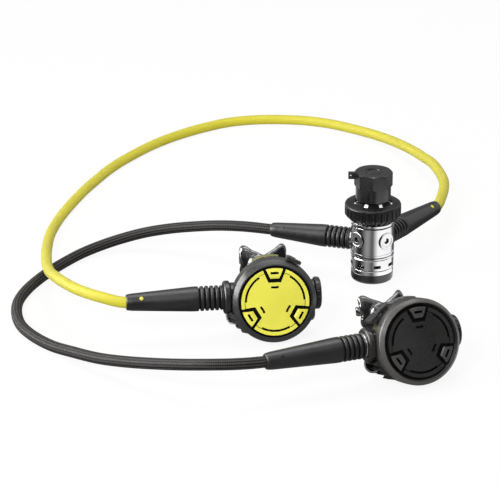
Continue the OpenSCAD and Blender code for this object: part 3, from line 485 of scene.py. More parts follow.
@dataclass(frozen=True)
class Moulded:
    """Moulded plastic or rubber: a fine grain, cloudy sheen and slight changes of colour.

    Attributes:
        name: the finish's name.
        colour: its colour.
        roughness: middle of its roughness.
        grain: depth of the grain in metres.
        grain_scale: grains in a metre.
        cloud: how much lighter the worn places are.
        coat: weight of a clear gloss.
        specular: strength of its reflections, 0.5 being plain plastic.
        ior: index of refraction.
    """

    name: str
    colour: Colour
    roughness: float
    grain: float = 0.00001
    grain_scale: float = 1500.0
    cloud: float = 0.3
    coat: float = 0.0
    specular: float = 0.5
    ior: float = 1.5

    def build(self) -> bpy.types.Material:
        """Makes the material: wide clouds change its colour, and clouds and smudges its gloss.

        Returns:
            The moulded material.
        """
        n = Nodes(self.name)
        lighter = tuple(min(1.0, c * (1 + self.cloud) + 0.01 * self.cloud) for c in self.colour)
        darker = tuple(c * (1 - 0.5 * self.cloud) for c in self.colour)
        clouds, smudges = n.noise(CLOUDS, 4.0), n.noise(SMUDGES, 2.0)
        spread = n.math("ADD", *(n.range(each, 0.3, 0.7, -0.05, 0.05) for each in (clouds, smudges)))
        return n.shade({
            "Base Color": n.blend(n.range(clouds, 0.3, 0.7, 0.0, 1.0), darker, lighter),
            "Roughness": n.math("ADD", spread, self.roughness),
            "Normal": n.bump(n.noise(self.grain_scale, 1.0), self.grain, 0.6),
            "Specular IOR Level": self.specular, "IOR": self.ior,
            "Coat Weight": self.coat, "Coat Roughness": 0.12})


@dataclass(frozen=True)
class Metal:
    """Plated or machined metal with faint polishing marks.

    Attributes:
        name: the finish's name.
        colour: its colour.
        roughness: its least roughness.
        marks: how much rougher the worn places are.
    """

    name: str
    colour: Colour
    roughness: float
    marks: float

    def build(self) -> bpy.types.Material:
        """Makes the material: clouds dull it here and there, and its polishing lines run round the z axis.

        Returns:
            The metal's material.
        """
        n = Nodes(self.name)
        clouds = n.noise(45.0, 4.0)
        stretch = n.node("Mapping", {"Vector": n.place.outputs["Object"], "Scale": (60.0, 60.0, 2600.0)})
        lines = n.node("TexNoise", {"Vector": stretch.outputs[0], "Scale": 1.0, "Detail": 3.0}).outputs["Fac"]
        darker = tuple(c * 0.9 for c in self.colour)
        dull = n.math("MULTIPLY", n.range(clouds, 0.3, 0.75, 0.0, 1.0), self.marks)
        return n.shade({
            "Base Color": n.blend(n.range(clouds, 0.35, 0.65, 0.0, 1.0), darker, self.colour),
            "Metallic": 1.0, "Roughness": n.math("ADD", dull, self.roughness),
            "Normal": n.bump(lines, 0.000004, 0.5)})


@dataclass(frozen=True)
class Braid:
    """Braided sleeve of a hose: two sets of strands that pass over and under each other.

    With U turns round the hose and V its length over its girth, the strands are where N(U+1.5V) and N(U-1.5V)
    lie between whole numbers, and the one on top changes from field to field.

    Attributes:
        name: the finish's name.
        colour: colour of the strands.
        gap: colour between them, the layer beneath with painted shade between the strands.
        strands: strands in each direction.
        under: tone of the strands of the second direction, 1 being that of the first; painted shade that
            darkens them.
        roughness: least roughness of the strands.
        sheen: weight of a dusty sheen.
        specular: strength of its reflections.
    """

    name: str
    colour: Colour
    gap: Colour
    strands: int
    under: float
    roughness: float
    sheen: float
    specular: float

    def build(self) -> bpy.types.Material:
        """Makes the material: each strand is half a sine high, with eight finer threads along it, and the low
        places between strands take painted shade.

        Returns:
            The braid's material.
        """
        n = Nodes(self.name)
        part = n.node("SeparateXYZ", {0: n.place.outputs["UV"]})
        u, v = part.outputs[0], part.outputs[1]
        steep = n.math("MULTIPLY", v, 1.5)
        one, two = (
            n.math("MULTIPLY", n.math(how, u, steep), float(self.strands)) for how in ("ADD", "SUBTRACT"))
        fields = n.math("ADD", n.math("FLOOR", one), n.math("FLOOR", two))
        over = n.math("GREATER_THAN", n.math("FRACT", n.math("MULTIPLY", fields, 0.5)), 0.25)
        beneath = n.math("SUBTRACT", 1.0, over)
        ridge_one, ridge_two = (
            n.math("SINE", n.math("MULTIPLY", n.math("FRACT", each), math.pi)) for each in (one, two))
        top = n.math("ADD", n.math("MULTIPLY", ridge_one, over), n.math("MULTIPLY", ridge_two, beneath))
        lower = n.math("ADD", n.math("MULTIPLY", ridge_two, over), n.math("MULTIPLY", ridge_one, beneath))
        twist = n.math("ADD", one, n.math("MULTIPLY", over, 3.0))
        threads = n.math("SINE", n.math("MULTIPLY", twist, 8 * math.pi))
        strand = n.math("ADD", top, n.math("MULTIPLY", lower, 0.35))
        height = n.math("ADD", strand, n.math("MULTIPLY", threads, 0.06))
        cover = n.range(height, 0.35, 1.0, 0.0, 1.0)
        cloud = n.range(n.noise(30.0, 4.0), 0.3, 0.7, 0.85, 1.0)
        # painted shade: the strands of the second direction are darkened by the under tone
        second = tuple(c * self.under for c in self.colour)
        # painted shade: the gap colour fills the low places between the strands, partly the layer beneath
        base = n.blend(cover, self.gap, n.blend(over, second, self.colour))
        return n.shade({
            "Base Color": n.blend(cloud, tuple(c * 0.8 for c in self.gap), base),
            "Roughness": n.range(height, 0.2, 1.2, self.roughness + 0.2, self.roughness),
            "Normal": n.bump(height, 0.00022, 0.8), "Specular IOR Level": self.specular,
            "Sheen Weight": self.sheen, "Sheen Roughness": 0.4})


class Finish(Enum):
    """The finishes of the set, each named after what it is used on."""

    CHROME = Metal("chrome_plate", (0.80, 0.80, 0.81), 0.06, marks=0.08)
    BRASS = Metal("turned_brass", (0.78, 0.60, 0.30), 0.2, marks=0.15)
    STEEL = Metal("spring_wire", (0.60, 0.60, 0.62), 0.18, marks=0.15)
    WHEEL_PLASTIC = Moulded("wheel_plastic", (0.008, 0.008, 0.009), 0.30, specular=0.3)
    CAP_PLASTIC = Moulded("cap_plastic", (0.012, 0.012, 0.013), 0.22, grain=0.000006, specular=0.8)
    NUT_PLASTIC = Moulded("nut_plastic", (0.013, 0.013, 0.014), 0.30)
    CASE_GREY = Moulded("case_grey", (0.024, 0.024, 0.025), 0.32, grain=0.000012)
    RING_GREY = Moulded("ring_grey", (0.024, 0.024, 0.026), 0.30)
    RING_PALE = Moulded("ring_pale", (0.070, 0.066, 0.063), 0.34)
    # painted shade for the ring's inner slope next to the cover
    PAINTED_RING_SHADE = Moulded("painted_ring_shade", (0.006, 0.006, 0.006), 0.32)
    COVER_BLACK = Moulded("cover_black", (0.018, 0.0175, 0.017), 0.30, grain=0.00004, grain_scale=1200.0)
    COVER_YELLOW = Moulded("cover_yellow", (0.96, 0.90, 0.095), 0.4, grain=0.00003, cloud=0.05)
    # painted shade for the bottoms and walls of grooves, rib gaps, slits and sockets
    PAINTED_GROOVE_SHADE = Moulded("painted_groove_shade", (0.004, 0.004, 0.004), 0.7, grain=0.00002, cloud=0.25,
                           specular=0.1)
    SLEEVE = Moulded("ribbed_rubber", (0.013, 0.013, 0.0135), 0.36, grain_scale=2200.0)
    RUBBER = Moulded("soft_rubber", (0.016, 0.016, 0.016), 0.45, grain=0.00003, grain_scale=2200.0,
                     cloud=0.25, specular=0.4)
    SILICONE = Moulded("mouth_silicone", (0.004, 0.004, 0.005), 0.14, grain=0.000002, grain_scale=900.0,
                       cloud=0.2, coat=1.0, ior=1.7)
    BLACK_BRAID = Braid("black_weave", (0.095, 0.088, 0.086), (0.001, 0.001, 0.001), strands=12, under=0.03,
                        roughness=0.5, sheen=0.0, specular=0.2)
    YELLOW_BRAID = Braid("yellow_weave", (0.95, 0.87, 0.060), (0.66, 0.57, 0.03), strands=14, under=0.92,
                         roughness=0.45, sheen=0.1, specular=0.3)
    YELLOW_DOT = Moulded("dot_yellow", (0.85, 0.77, 0.055), 0.4, grain=0.00003, grain_scale=1800.0,
                         cloud=0.25)
    BLACK_DOT = Moulded("dot_black", (0.006, 0.006, 0.006), 0.3, grain=0.00003, grain_scale=1800.0,
                        cloud=0.25)
    CLAW_GREY = Moulded("claw_grey", (0.055, 0.055, 0.056), 0.3, grain=0.00003)
    CLAW_YELLOW = Moulded("claw_yellow", (0.96, 0.90, 0.10), 0.36, grain=0.00003, cloud=0.05)
    PAD_OLIVE = Moulded("pad_olive", (0.24, 0.22, 0.06), 0.4, grain=0.00003, grain_scale=1800.0, cloud=0.25)
    PAD_GREY = Moulded("pad_grey", (0.14, 0.14, 0.14), 0.4, grain=0.00003, grain_scale=1800.0, cloud=0.25)

    def material(self) -> bpy.types.Material:
        """The finish's material, made at its first use."""
        return bpy.data.materials.get(self.value.name) or self.value.build()


def dress(piece: bpy.types.Object, *finishes: Finish) -> None:
    """Gives a piece its finishes, one for each of its material numbers.

    Args:
        piece: the piece to dress.
        finishes: the finishes in the order of the numbers.
    """
    piece.data.materials.clear()
    for finish in finishes:
        piece.data.materials.append(finish.material())


# ---------------------------------------------------------------- pieces from solids


def paint(piece: bpy.types.Object, at: np.ndarray, rule: Callable[..., np.ndarray], number: int) -> None:
    """Gives a material number to the faces that a rule picks.

    Args:
        piece: the piece.
        at: the placement whose axes the rule uses.
        rule: takes the faces' centres in millimetres and their normals, as seen from the placement, and
            picks faces.
        number: the material number.
    """
    faces = piece.data.polygons
    index = np.empty(len(faces), dtype=np.int32)
    faces.foreach_get("material_index", index)
    inside = (read(faces, "center") / MM - at[:3, 3]) @ at[:3, :3]
    index[rule(inside, read(faces, "normal") @ at[:3, :3])] = number
    faces.foreach_set("material_index", index)
    piece.data.update()


@dataclass(frozen=True)
class Edge:
    """How the edges of a solid are broken.

    Attributes:
        width: width of the rounding in millimetres.
        steps: faces across it.
        angle: sharper edges than this many degrees are rounded.
    """

    width: float
    steps: int
    angle: float = 32.0


def merged(node: str) -> bpy.types.Object:
    """A copy of a solid with its corners merged and its flat faces whole.

    Args:
        node: the solid's name.

    Returns:
        The new piece, which replaces the solid.
    """
    mesh = frame["nodes"][node].data.copy()
    mesh.name = node + "_shell"
    work = bmesh.new()
    work.from_mesh(mesh)
    bmesh.ops.remove_doubles(work, verts=work.verts, dist=2e-6)
    bmesh.ops.dissolve_limit(
        work, angle_limit=math.radians(0.4), verts=work.verts, edges=work.edges, delimit={"MATERIAL"})
    work.to_mesh(mesh)
    work.free()
    mesh.polygons.foreach_set("use_smooth", np.ones(len(mesh.polygons), dtype=bool))
    return put(node + "_shell", mesh)


def softened(node: str, edge: Edge) -> bpy.types.Object:
    """A merged copy of a solid with rounded edges and even shading.

    Args:
        node: the solid's name.
        edge: how its edges are broken.

    Returns:
        The new piece, which replaces the solid.
    """
    piece = merged(node)
    bevel = piece.modifiers.new("rounding", "BEVEL")
    bevel.width = edge.width * MM
    bevel.segments = edge.steps
    bevel.limit_method = "ANGLE"
    bevel.angle_limit = math.radians(edge.angle)
    bevel.miter_outer = "MITER_ARC"
    even = piece.modifiers.new("shading", "WEIGHTED_NORMAL")
    even.weight = 80
    even.keep_sharp = True
    return piece


def take_result(piece: bpy.types.Object) -> None:
    """Makes what a piece's shown modifiers give its mesh.

    Args:
        piece: the piece.
    """
    bpy.context.view_layer.update()
    result = piece.evaluated_get(bpy.context.evaluated_depsgraph_get())
    old, piece.data = piece.data, bpy.data.meshes.new_from_object(result)
    bpy.data.meshes.remove(old)


def cut_with(piece: bpy.types.Object, tool: bpy.types.Object) -> None:
    """Cuts a tool out of a piece before its edges are rounded, and takes the tool away.

    Args:
        piece: the piece to cut.
        tool: the cutter.
    """
    later = [modifier.name for modifier in piece.modifiers]
    cut = piece.modifiers.new("slits", "BOOLEAN")
    cut.operation = "DIFFERENCE"
    cut.object = tool
    cut.solver = "EXACT"
    cut.material_mode = "TRANSFER"
    piece.modifiers.move(len(later), 0)
    for name in later:
        piece.modifiers[name].show_viewport = False
    take_result(piece)
    piece.modifiers.remove(piece.modifiers["slits"])
    for name in later:
        piece.modifiers[name].show_viewport = True
    bpy.data.objects.remove(tool)


def reach(points: np.ndarray) -> np.ndarray:
    """Distance of each point from the z axis."""
    return np.hypot(points[:, 0], points[:, 1])


def settle(piece: bpy.types.Object, body: str, node: str | None) -> None:
    """Hangs a piece on its body and lets it stand for a solid.

    Args:
        piece: the piece.
        body: the body it moves with.
        node: the solid it replaces, or None for an added piece.
    """
    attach(piece, body)
    if node:
        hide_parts(node)


# ---------------------------------------------------------------- hoses


@dataclass
class HoseLine:
    """A braided hose with its two ribbed sleeves.

    Attributes:
        name: black or yellow.
        port_angle: direction of its port on the first stage, in degrees.
        first_len: length of the sleeve at the first stage.
        second_len: length of the sleeve at the second stage.
        route: the free route between the sleeves.
        finish: the braid's finish.
        dot: finish of the mark on its sleeves.
        stage: the second stage's placement.
        radius: the hose's radius.
        sides: faces round it.
        port_height: height of its port.
        sleeve_start: where its first sleeve starts, from the first stage's axis.
        tail: how far into a sleeve its line starts.
        line_step: spacing of the line's points.
        nut_face: where its second sleeve starts, from the second stage's axis.
        valve_rise: how far above that axis the hose enters.
        ribs: ribs on a sleeve.
        rib_pitch: their spacing.
        rib_depth: depth of the gaps between them.
        taper: where a sleeve's taper starts past its ribs and ends before its tip.
        tip_step: how much thicker the taper's end is than the tip.
        first_radii: radius of the first sleeve's ribs and of its thin end.
        second_radii: the same of the second sleeve.
        dot_from_tip: how far the mark sits from a sleeve's thin end.
        dot_radius: the mark's radius.
    """

    name: str
    port_angle: float
    first_len: float
    second_len: float
    route: list[Point]
    finish: Finish
    dot: Finish
    stage: np.ndarray
    radius: float = 4.9
    sides: int = 28
    port_height: float = 35.5
    sleeve_start: float = 20.2
    tail: float = 12.0
    line_step: float = 3.5
    nut_face: float = 42.2
    valve_rise: float = 2.0
    ribs: int = 5
    rib_pitch: float = 4.3
    rib_depth: float = 1.9
    taper: tuple[float, float] = (6.0, 5.0)
    tip_step: float = 0.6
    first_radii: tuple[float, float] = (10.2, 6.3)
    second_radii: tuple[float, float] = (10.8, 6.9)
    dot_from_tip: float = 13.0
    dot_radius: float = 1.7

    def first_frame(self) -> np.ndarray:
        """Placement of the first sleeve.

        Returns:
            The 4 by 4 matrix, z outwards along the port.
        """
        a = math.radians(self.port_angle)
        out = np.array([math.cos(a), math.sin(a), 0.0])
        return axis_frame(out * self.sleeve_start + [0, 0, self.port_height], out)

    def second_frame(self) -> np.ndarray:
        """Placement of the second sleeve.

        Returns:
            The 4 by 4 matrix, z away from the second stage.
        """
        start = self.stage @ [-self.nut_face, self.valve_rise, 0, 1]
        return axis_frame(start[:3], -self.stage[:3, 0])

    def line(self) -> np.ndarray:
        """The hose's middle line, straight inside both sleeves.

        Returns:
            Its points.
        """
        first, second = self.first_frame(), self.second_frame()
        inside = np.linspace(self.tail, self.first_len, 7)[:, None]
        start = first[:3, 3] + inside * first[:3, 2]
        inside = np.linspace(self.second_len, self.tail, 7)[:, None]
        end = second[:3, 3] + inside * second[:3, 2]
        return smooth_line(np.vstack([start, np.array(self.route, float), end]), self.line_step)

    def sleeve(self, length: float, rib_r: float, tip_r: float) -> np.ndarray:
        """Half section of a sleeve: rounded ribs at the thick end and a long taper to the thin one.

        Args:
            length: its length.
            rib_r: radius of its ribs.
            tip_r: radius of its thin end.

        Returns:
            The rounded outline.
        """
        core, bore, p = rib_r - self.rib_depth, self.radius + 0.1, self.rib_pitch
        z = np.arange(self.ribs)[:, None] * p
        r = np.array([rib_r - 0.5, rib_r, rib_r, rib_r - 0.5, core, core])
        h = np.array([0.0, 0.6, p - 2.1, p - 1.5, p - 1.25, p - 0.25])
        ribs = np.stack([np.broadcast_to(r, (self.ribs, len(r))), z + h], axis=-1).reshape(-1, 2)
        ribs[:2, 1] = [1.7, 1.9]
        end = self.ribs * p
        tip = np.array([
            [rib_r - 0.5, end], [rib_r, end + 0.8], [rib_r - 0.1, end + self.taper[0]],
            [tip_r + self.tip_step, length - self.taper[1]], [tip_r, length - 1], [tip_r - 0.8, length],
            [bore, length]])
        return rounded(np.vstack([[[bore, 1.7]], ribs, tip]), 0.4, 4)

    def collar(self, at: np.ndarray, rib_r: float, name: str) -> bpy.types.Object:
        """The collar between a sleeve's first rib and its nut: chromed at the black hose's second stage end,
        in the sleeve's rubber elsewhere. The collar between a sleeve's first rib and its nut, chromed where
        it shows.

        Args:
            at: the sleeve's placement.
            rib_r: radius of the sleeve's ribs.
            name: the piece's name.

        Returns:
            The new piece.
        """
        r, bore = rib_r - 0.35, self.radius + 0.15
        outline = rounded(np.array([[bore, 0.02], [r, 0.02], [r, 1.55], [bore, 1.55]]), 0.45, 4)
        piece = turned(outline, 64).placed(at).to_object(name)
        bright = name == "black_second_collar"
        dress(piece, Finish.CHROME if bright else Finish.SLEEVE)
        settle(piece, "first_stage", None)
        return piece

    def mark(self, at: np.ndarray, distance: float, radius: float, name: str,
             sides: int = 32) -> bpy.types.Object:
        """A plain round dot let into a sleeve, on the side that shows from the front and above.

        The dot is a dome: height h (1 - q^2) over a disc, q from 0 to 1, bent onto the sleeve's round.

        Args:
            at: the sleeve's placement.
            distance: how far along the sleeve it sits.
            radius: the sleeve's radius there.
            name: the piece's name.
            sides: faces round it.

        Returns:
            The new piece.
        """
        z = at[:3, 2]
        out = np.array([0.1, -0.72, 0.69])
        out = out - z * (out @ z)
        out /= np.linalg.norm(out)
        across = np.cross(out, z)
        q = np.array([0.02, 0.35, 0.7, 0.9, 1.0, 1.0])[:, None]
        lift = np.array([0.22, 0.2, 0.16, 0.1, 0.02, -0.6])[:, None]
        angle = 2 * np.pi * np.arange(sides)[None, :] / sides
        s, t = self.dot_radius * q * np.cos(angle), self.dot_radius * q * np.sin(angle)
        bend = np.sqrt(radius**2 - s**2) + lift
        centre = at[:3, 3] + z * distance
        points = centre + bend[..., None] * out + s[..., None] * across + t[..., None] * z
        return Surface(points.reshape(-1, 3), closed_faces(*s.shape)).to_object(name)

    def build(self) -> None:
        """Makes the hose and its sleeves, with their collars and marks."""
        line = self.line()
        hose = swept(line, self.radius, self.sides).to_object(self.name + "_braided_hose")
        dress(hose, self.finish)
        settle(hose, "first_stage", self.name + "_hose")
        ribs_end, sleeves = self.ribs * self.rib_pitch, []
        for end, at, size, (rib_r, tip_r) in (
                ("first", self.first_frame(), self.first_len, self.first_radii),
                ("second", self.second_frame(), self.second_len, self.second_radii)):
            outline = self.sleeve(size, rib_r, tip_r)
            sleeve = turned(outline).placed(at).to_object(f"{self.name}_{end}_ribbed_sleeve")
            # painted shade in the gaps between the ribs
            dress(sleeve, Finish.SLEEVE, Finish.PAINTED_GROOVE_SHADE)
            paint(sleeve, at, lambda p, n: (reach(p) < rib_r - 1.3) & (p[:, 2] < ribs_end), 1)
            settle(sleeve, "first_stage", f"{self.name}_hose_{end}_sleeve")
            collar = self.collar(at, rib_r, f"{self.name}_{end}_collar")
            spot = size - self.dot_from_tip
            taper_from, taper_to = ribs_end + self.taper[0], size - self.taper[1]
            share = (spot - taper_from) / (taper_to - taper_from)
            there = rib_r + (tip_r + self.tip_step - rib_r) * share
            dot = self.mark(at, spot, there, f"{self.name}_{end}_sleeve_dot")
            dress(dot, self.dot)
            settle(dot, "first_stage", None)
            sleeves += [sleeve, dot, collar]


# ---------------------------------------------------------------- second stages


@dataclass(frozen=True)
class Slit:
    """A slit along an arc in a second stage's front.

    Attributes:
        radius: radius of its middle line.
        width: its width.
        half: half its angle in degrees.
        depth: how deep it goes below the ring's front.
    """

    radius: float
    width: float
    half: float
    depth: float


@dataclass
class SecondStage:
    """A second stage, dressed piece by piece.

    Attributes:
        name: primary or octopus.
        cover_finish: finish of the cover and the purge button.
        case_finish: finish of the case.
        ring_finish: finish of the front ring.
        pad_finish: finish of the field on the case's top pad.
        claw_finish: finish of the cover's three claws.
        tee_finish: finish of the exhaust tee and its louvres.
        rim_width: width of the ring's bevelled rim.
        painted_shade_width: width of the painted shade on the ring's inner slope.
        ring_r: the ring's outer radius.
        ring_back: where the ring starts in front of the stage's axis.
        front: where it ends.
        swivel_rise: how far above the stage's axis its hose enters.
        cover_r: the cover's radius.
        claw_angles: directions of the claws in degrees.
        claw_size: where a claw starts from the axis, and half its width there and at the cover's rim.
        gap_size: the same of the gap round it.
        long_slit: one of the button's three slits along its rim.
        dash: the short dash inside each claw.
        dash_centre: how far the centre of its arc lies from the axis.
        rim_line: the line between the cover and the ring, of which each cut makes half.
        louvres: number of louvres on a side.
        louvre_from: direction of the first one's upper end in degrees.
        louvre_angle: angle of each in degrees.
        pad_span: where the top pad's field starts and ends along the axis.
        pad_low: height above the axis past which it lies.
        mouth_tilt: how far the mouthpiece points down in degrees.
        mouth_root: where it starts.
        shield_at: how far along it the lip shield starts.
        shield_fade: the length over which the shield's bend grows.
        shield_bow: how flat that bend is to the sides and upwards.
        voxel: spacing of the mouthpiece's even mesh.
    """

    name: str
    cover_finish: Finish
    case_finish: Finish
    ring_finish: Finish
    pad_finish: Finish
    claw_finish: Finish
    tee_finish: Finish
    rim_width: float
    painted_shade_width: float
    ring_r: float = 36.3
    ring_back: float = 9.4
    front: float = 22.0
    swivel_rise: float = 2.0
    cover_r: float = 30.2
    claw_angles: tuple[float, ...] = (90.0, 210.0, 330.0)
    claw_size: tuple[float, float, float] = (20.3, 3.75, 8.64)
    gap_size: tuple[float, float, float] = (16.9, 5.5, 11.2)
    long_slit: Slit = Slit(25.2, 1.7, 28.5, 2.6)
    dash: Slit = Slit(13.4, 1.9, 14.0, 1.8)
    dash_centre: float = 26.0
    rim_line: Slit = Slit(30.1, 1.5, 90.5, 1.1)
    louvres: int = 4
    louvre_from: float = 199.0
    louvre_angle: float = 8.8
    pad_span: tuple[float, float] = (-5.5, 5.0)
    pad_low: float = 25.0
    mouth_tilt: float = 11.0
    mouth_root: Point = (0.0, 12.0, -8.0)
    shield_at: float = 36.5
    shield_fade: float = 2.5
    shield_bow: tuple[float, float] = (70.0, 48.0)
    voxel: float = 0.65

    def body(self, part: str) -> str:
        """Name of one of the stage's bodies."""
        return f"{self.name}_{part}"

    def placement(self) -> np.ndarray:
        """The stage's own axes, read from its swivel and its purge button.

        Returns:
            The 4 by 4 matrix: x right, y up, z to the front.
        """
        joints = {j["name"]: j for j in frame["joints"]}
        swivel = joints[self.name + "_hose_swivel"]
        x = np.array(swivel["axis"], float)
        z = -np.array(joints[self.name + "_purge_press"]["axis"], float)
        y = np.cross(z, x)
        matrix = np.eye(4)
        matrix[:3, 0], matrix[:3, 1], matrix[:3, 2] = x, y, z
        matrix[:3, 3] = np.array(swivel["pos_m"]) / MM - self.swivel_rise * y
        return matrix

    def ring(self) -> bpy.types.Object:
        """The front ring: a rounded rim that falls inwards to the cover, turned about the stage's axis, with
        painted shade on its inner slope.

        Returns:
            The new piece.
        """
        back, front = self.ring_back, self.front
        r, c, w = self.ring_r, self.cover_r, self.rim_width
        bore, shelf = r - 1.44, back + 9.4
        outline = rounded(np.array([
            [bore, back], [r - 0.3, back], [r, back + 0.5], [r, front - w], [r - 0.4, front - w + 0.8],
            [r - w + 0.8, front - 0.4], [r - w, front], [r - w - 0.4, front - 0.2], [c + 0.8, front - 1.4],
            [c + 0.35, front - 1.9], [c + 0.35, shelf], [bore, shelf]]), 0.8, 5)
        piece = turned(outline, 128).placed(self.placement()).to_object(self.name + "_front_ring")
        # painted shade: the inner slope next to the cover is painted dark
        dress(piece, self.ring_finish, Finish.PAINTED_RING_SHADE)
        edge = c + self.painted_shade_width
        paint(piece, self.placement(), lambda p, n: (reach(p) < edge) & (p[:, 2] > front - 4), 1)
        return piece

    def groove(self, slit: Slit, middle: float, centre: tuple[float, float] = (0.0, 0.0),
               steps: int = 24) -> Surface:
        """A cutter for a slit: a block bent along an arc, with points at r (cos a, sin a) from its centre.

        Args:
            slit: the slit's sizes.
            middle: angle of its middle in degrees.
            centre: centre of the arc, right and up from the stage's axis.
            steps: sections along it.

        Returns:
            The cutter in its place.
        """
        top, bottom = self.front + 1.5, self.front - slit.depth
        angle = np.radians(np.linspace(middle - slit.half, middle + slit.half, steps))[:, None]
        r = (slit.radius + slit.width * np.array([-0.5, 0.5, 0.5, -0.5]))[None, :]
        z = np.array([bottom, bottom, top, top])[None, :] + 0 * angle
        points = np.stack([centre[0] + r * np.cos(angle), centre[1] + r * np.sin(angle), z], axis=-1)
        return Surface(points.reshape(-1, 3), closed_faces(*z.shape)).placed(self.placement())

    def button(self) -> bpy.types.Object:
        """The purge button with its slits along the rim and its short dashes beside the claws, whose walls
        take painted shade like its sunk faces.

        Returns:
            The new piece.
        """
        piece = softened(self.name + "_purge_button", Edge(0.2, 2))
        cutters = [self.groove(self.long_slit, a + 60) for a in self.claw_angles]
        for a in self.claw_angles:
            turn = math.radians(a)
            centre = (self.dash_centre * math.cos(turn), self.dash_centre * math.sin(turn))
            cutters.append(self.groove(self.dash, a + 180, centre))
        cutters += [self.claw_gap(a) for a in self.claw_angles]
        dress(piece, self.cover_finish, Finish.PAINTED_GROOVE_SHADE)
        sunk, rim = self.front - 1.7, self.cover_r - 4.9
        # painted shade on the sunk faces and on the side walls inside the rim
        paint(piece, self.placement(), lambda p, n: (p[:, 2] < sunk)
              | ((n[:, 2] < 0.4) & (reach(p) < rim)), 1)
        self.carve(piece, cutters)
        return piece

    def carve(self, piece: bpy.types.Object, cutters: list[Surface]) -> None:
        """Cuts grooves into a piece, whose walls take painted shade.

        Args:
            piece: the piece, whose second material is the grooves' painted shade.
            cutters: the closed surfaces to cut away.
        """
        offset, points, faces = 0, [], []
        for cutter in cutters:
            points.append(cutter.points)
            faces += [[i + offset for i in face] for face in cutter.faces]
            offset += len(cutter.points)
        tool = Surface(np.vstack(points), faces).to_object(piece.name + "_tool", False)
        dress(tool, self.cover_finish, Finish.PAINTED_GROOVE_SHADE)
        # the cut walls take the painted shade
        tool.data.polygons.foreach_set("material_index", np.ones(len(tool.data.polygons), dtype=np.int32))
        cut_with(piece, tool)

    def claw_gap(self, angle: float) -> Surface:
        """A cutter for the gap round one claw: a bent band between the claw's outline and a wider one.

        Args:
            angle: direction of the claw in degrees.

        Returns:
            The cutter in its place.
        """
        out, top = self.cover_r + 0.6, self.front + 2.0
        a = math.radians(angle)
        turn = np.array([[math.cos(a), math.sin(a)], [-math.sin(a), math.cos(a)]])
        inner, outer = (
            np.array([[out, -wide], [root, -narrow], [root, narrow], [out, wide]]) @ turn
            for root, narrow, wide in (self.claw_size, self.gap_size))
        low, high = np.full((4, 1), top - 4.0), np.full((4, 1), top)
        ring = np.stack([np.hstack([inner, low]), np.hstack([outer, low]), np.hstack([outer, high]),
                         np.hstack([inner, high])], axis=1)
        return Surface(ring.reshape(-1, 3), closed_faces(*ring.shape[:2])).placed(self.placement())

    def cover(self) -> bpy.types.Object:
        """The front cover, whose claws stand free between gaps whose walls take painted shade.

        Returns:
            The new piece.
        """
        piece = softened(self.name + "_cover", Edge(0.3, 3))
        dress(piece, self.cover_finish, Finish.PAINTED_GROOVE_SHADE, self.claw_finish)
        at, sunk, rim = self.placement(), self.front - 1.2, self.cover_r - 3.6
        paint(piece, at, self.on_claw, 2)
        # painted shade on the sunk faces, the claws' sides and the cover's outer sides
        paint(piece, at, lambda p, n: (p[:, 2] < sunk) | np.where(
            self.on_claw(p, n), n[:, 2] < 0.3, (n[:, 2] < 0.45) & (reach(p) > rim)), 1)
        self.carve(piece, [self.claw_gap(a) for a in self.claw_angles])
        for middle in (90.0, 270.0):
            self.carve(piece, [self.groove(self.rim_line, middle)])
        return piece

    def on_claw(self, points: np.ndarray, normals: np.ndarray) -> np.ndarray:
        """Picks the faces of the three claws, which widen by 0.48 for each millimetre outwards.

        Args:
            points: centres of the faces.
            normals: their normals, which don't matter here.

        Returns:
            Whether each face is on a claw.
        """
        hit = np.zeros(len(points), dtype=bool)
        x, y = points[:, 0], points[:, 1]
        for a in np.radians(self.claw_angles):
            along, across = x * np.cos(a) + y * np.sin(a), y * np.cos(a) - x * np.sin(a)
            hit |= (along > 19.0) & (np.abs(across) < 3.8 + 0.48 * np.maximum(along - self.claw_size[0], 0))
        return hit

    def case(self) -> bpy.types.Object:
        """The case, with the coloured field of its top pad.

        Returns:
            The new piece.
        """
        piece = softened(self.name + "_case", Edge(0.5, 3))
        dress(piece, self.case_finish, self.pad_finish)
        (start, end), skin = self.pad_span, self.ring_r + 0.15
        paint(piece, self.placement(), lambda p, n: (reach(p) > skin) & (reach(n) > 0.75)
              & (p[:, 1] > self.pad_low) & (p[:, 2] > start) & (p[:, 2] < end), 1)
        return piece

    def comb(self, side: int) -> bpy.types.Object:
        """A comb of exhaust louvres behind the ring, low on one side of the case.

        The comb follows the case at angle a. Its outer radius is R + (5.4 - 3 s) (1 - 0.85 t), where t runs
        from 0 to 1 over each louvre and s over the whole comb, whose depth shrinks towards its lower end. The
        right comb stays behind the ring.

        Args:
            side: -1 for the left, 1 for the right.

        Returns:
            The new piece.
        """
        samples = 7
        t = np.tile(np.linspace(0.0, 1.0, samples), self.louvres)
        step = np.repeat(np.arange(self.louvres), samples)
        turn = np.radians(self.louvre_from + (step + 0.999 * t) * self.louvre_angle)
        angle = (turn if side < 0 else math.pi - turn)[:, None]
        share = (step + t) / self.louvres
        proud = 5.4 - 3.0 * share if side < 0 else 0.6
        outer = self.ring_r - 0.2 + proud * (1 - 0.85 * t)
        inner = np.full(len(t), self.ring_r - 5)
        low, high = -7.0 + 5.0 * share, np.full(len(t), self.ring_back - 0.5)
        r = np.stack([inner, outer - 0.5, outer, outer, outer - 0.5, inner], axis=1)
        z = np.stack([low, low, low + 0.6, high - 0.6, high, high], axis=1)
        points = np.stack([r * np.cos(angle), r * np.sin(angle), z], axis=-1)
        form = Surface(points.reshape(-1, 3), closed_faces(*r.shape)).placed(self.placement())
        piece = form.to_object(self.name + ("_left" if side < 0 else "_right") + "_louvres", False)
        dress(piece, self.tee_finish)
        return piece

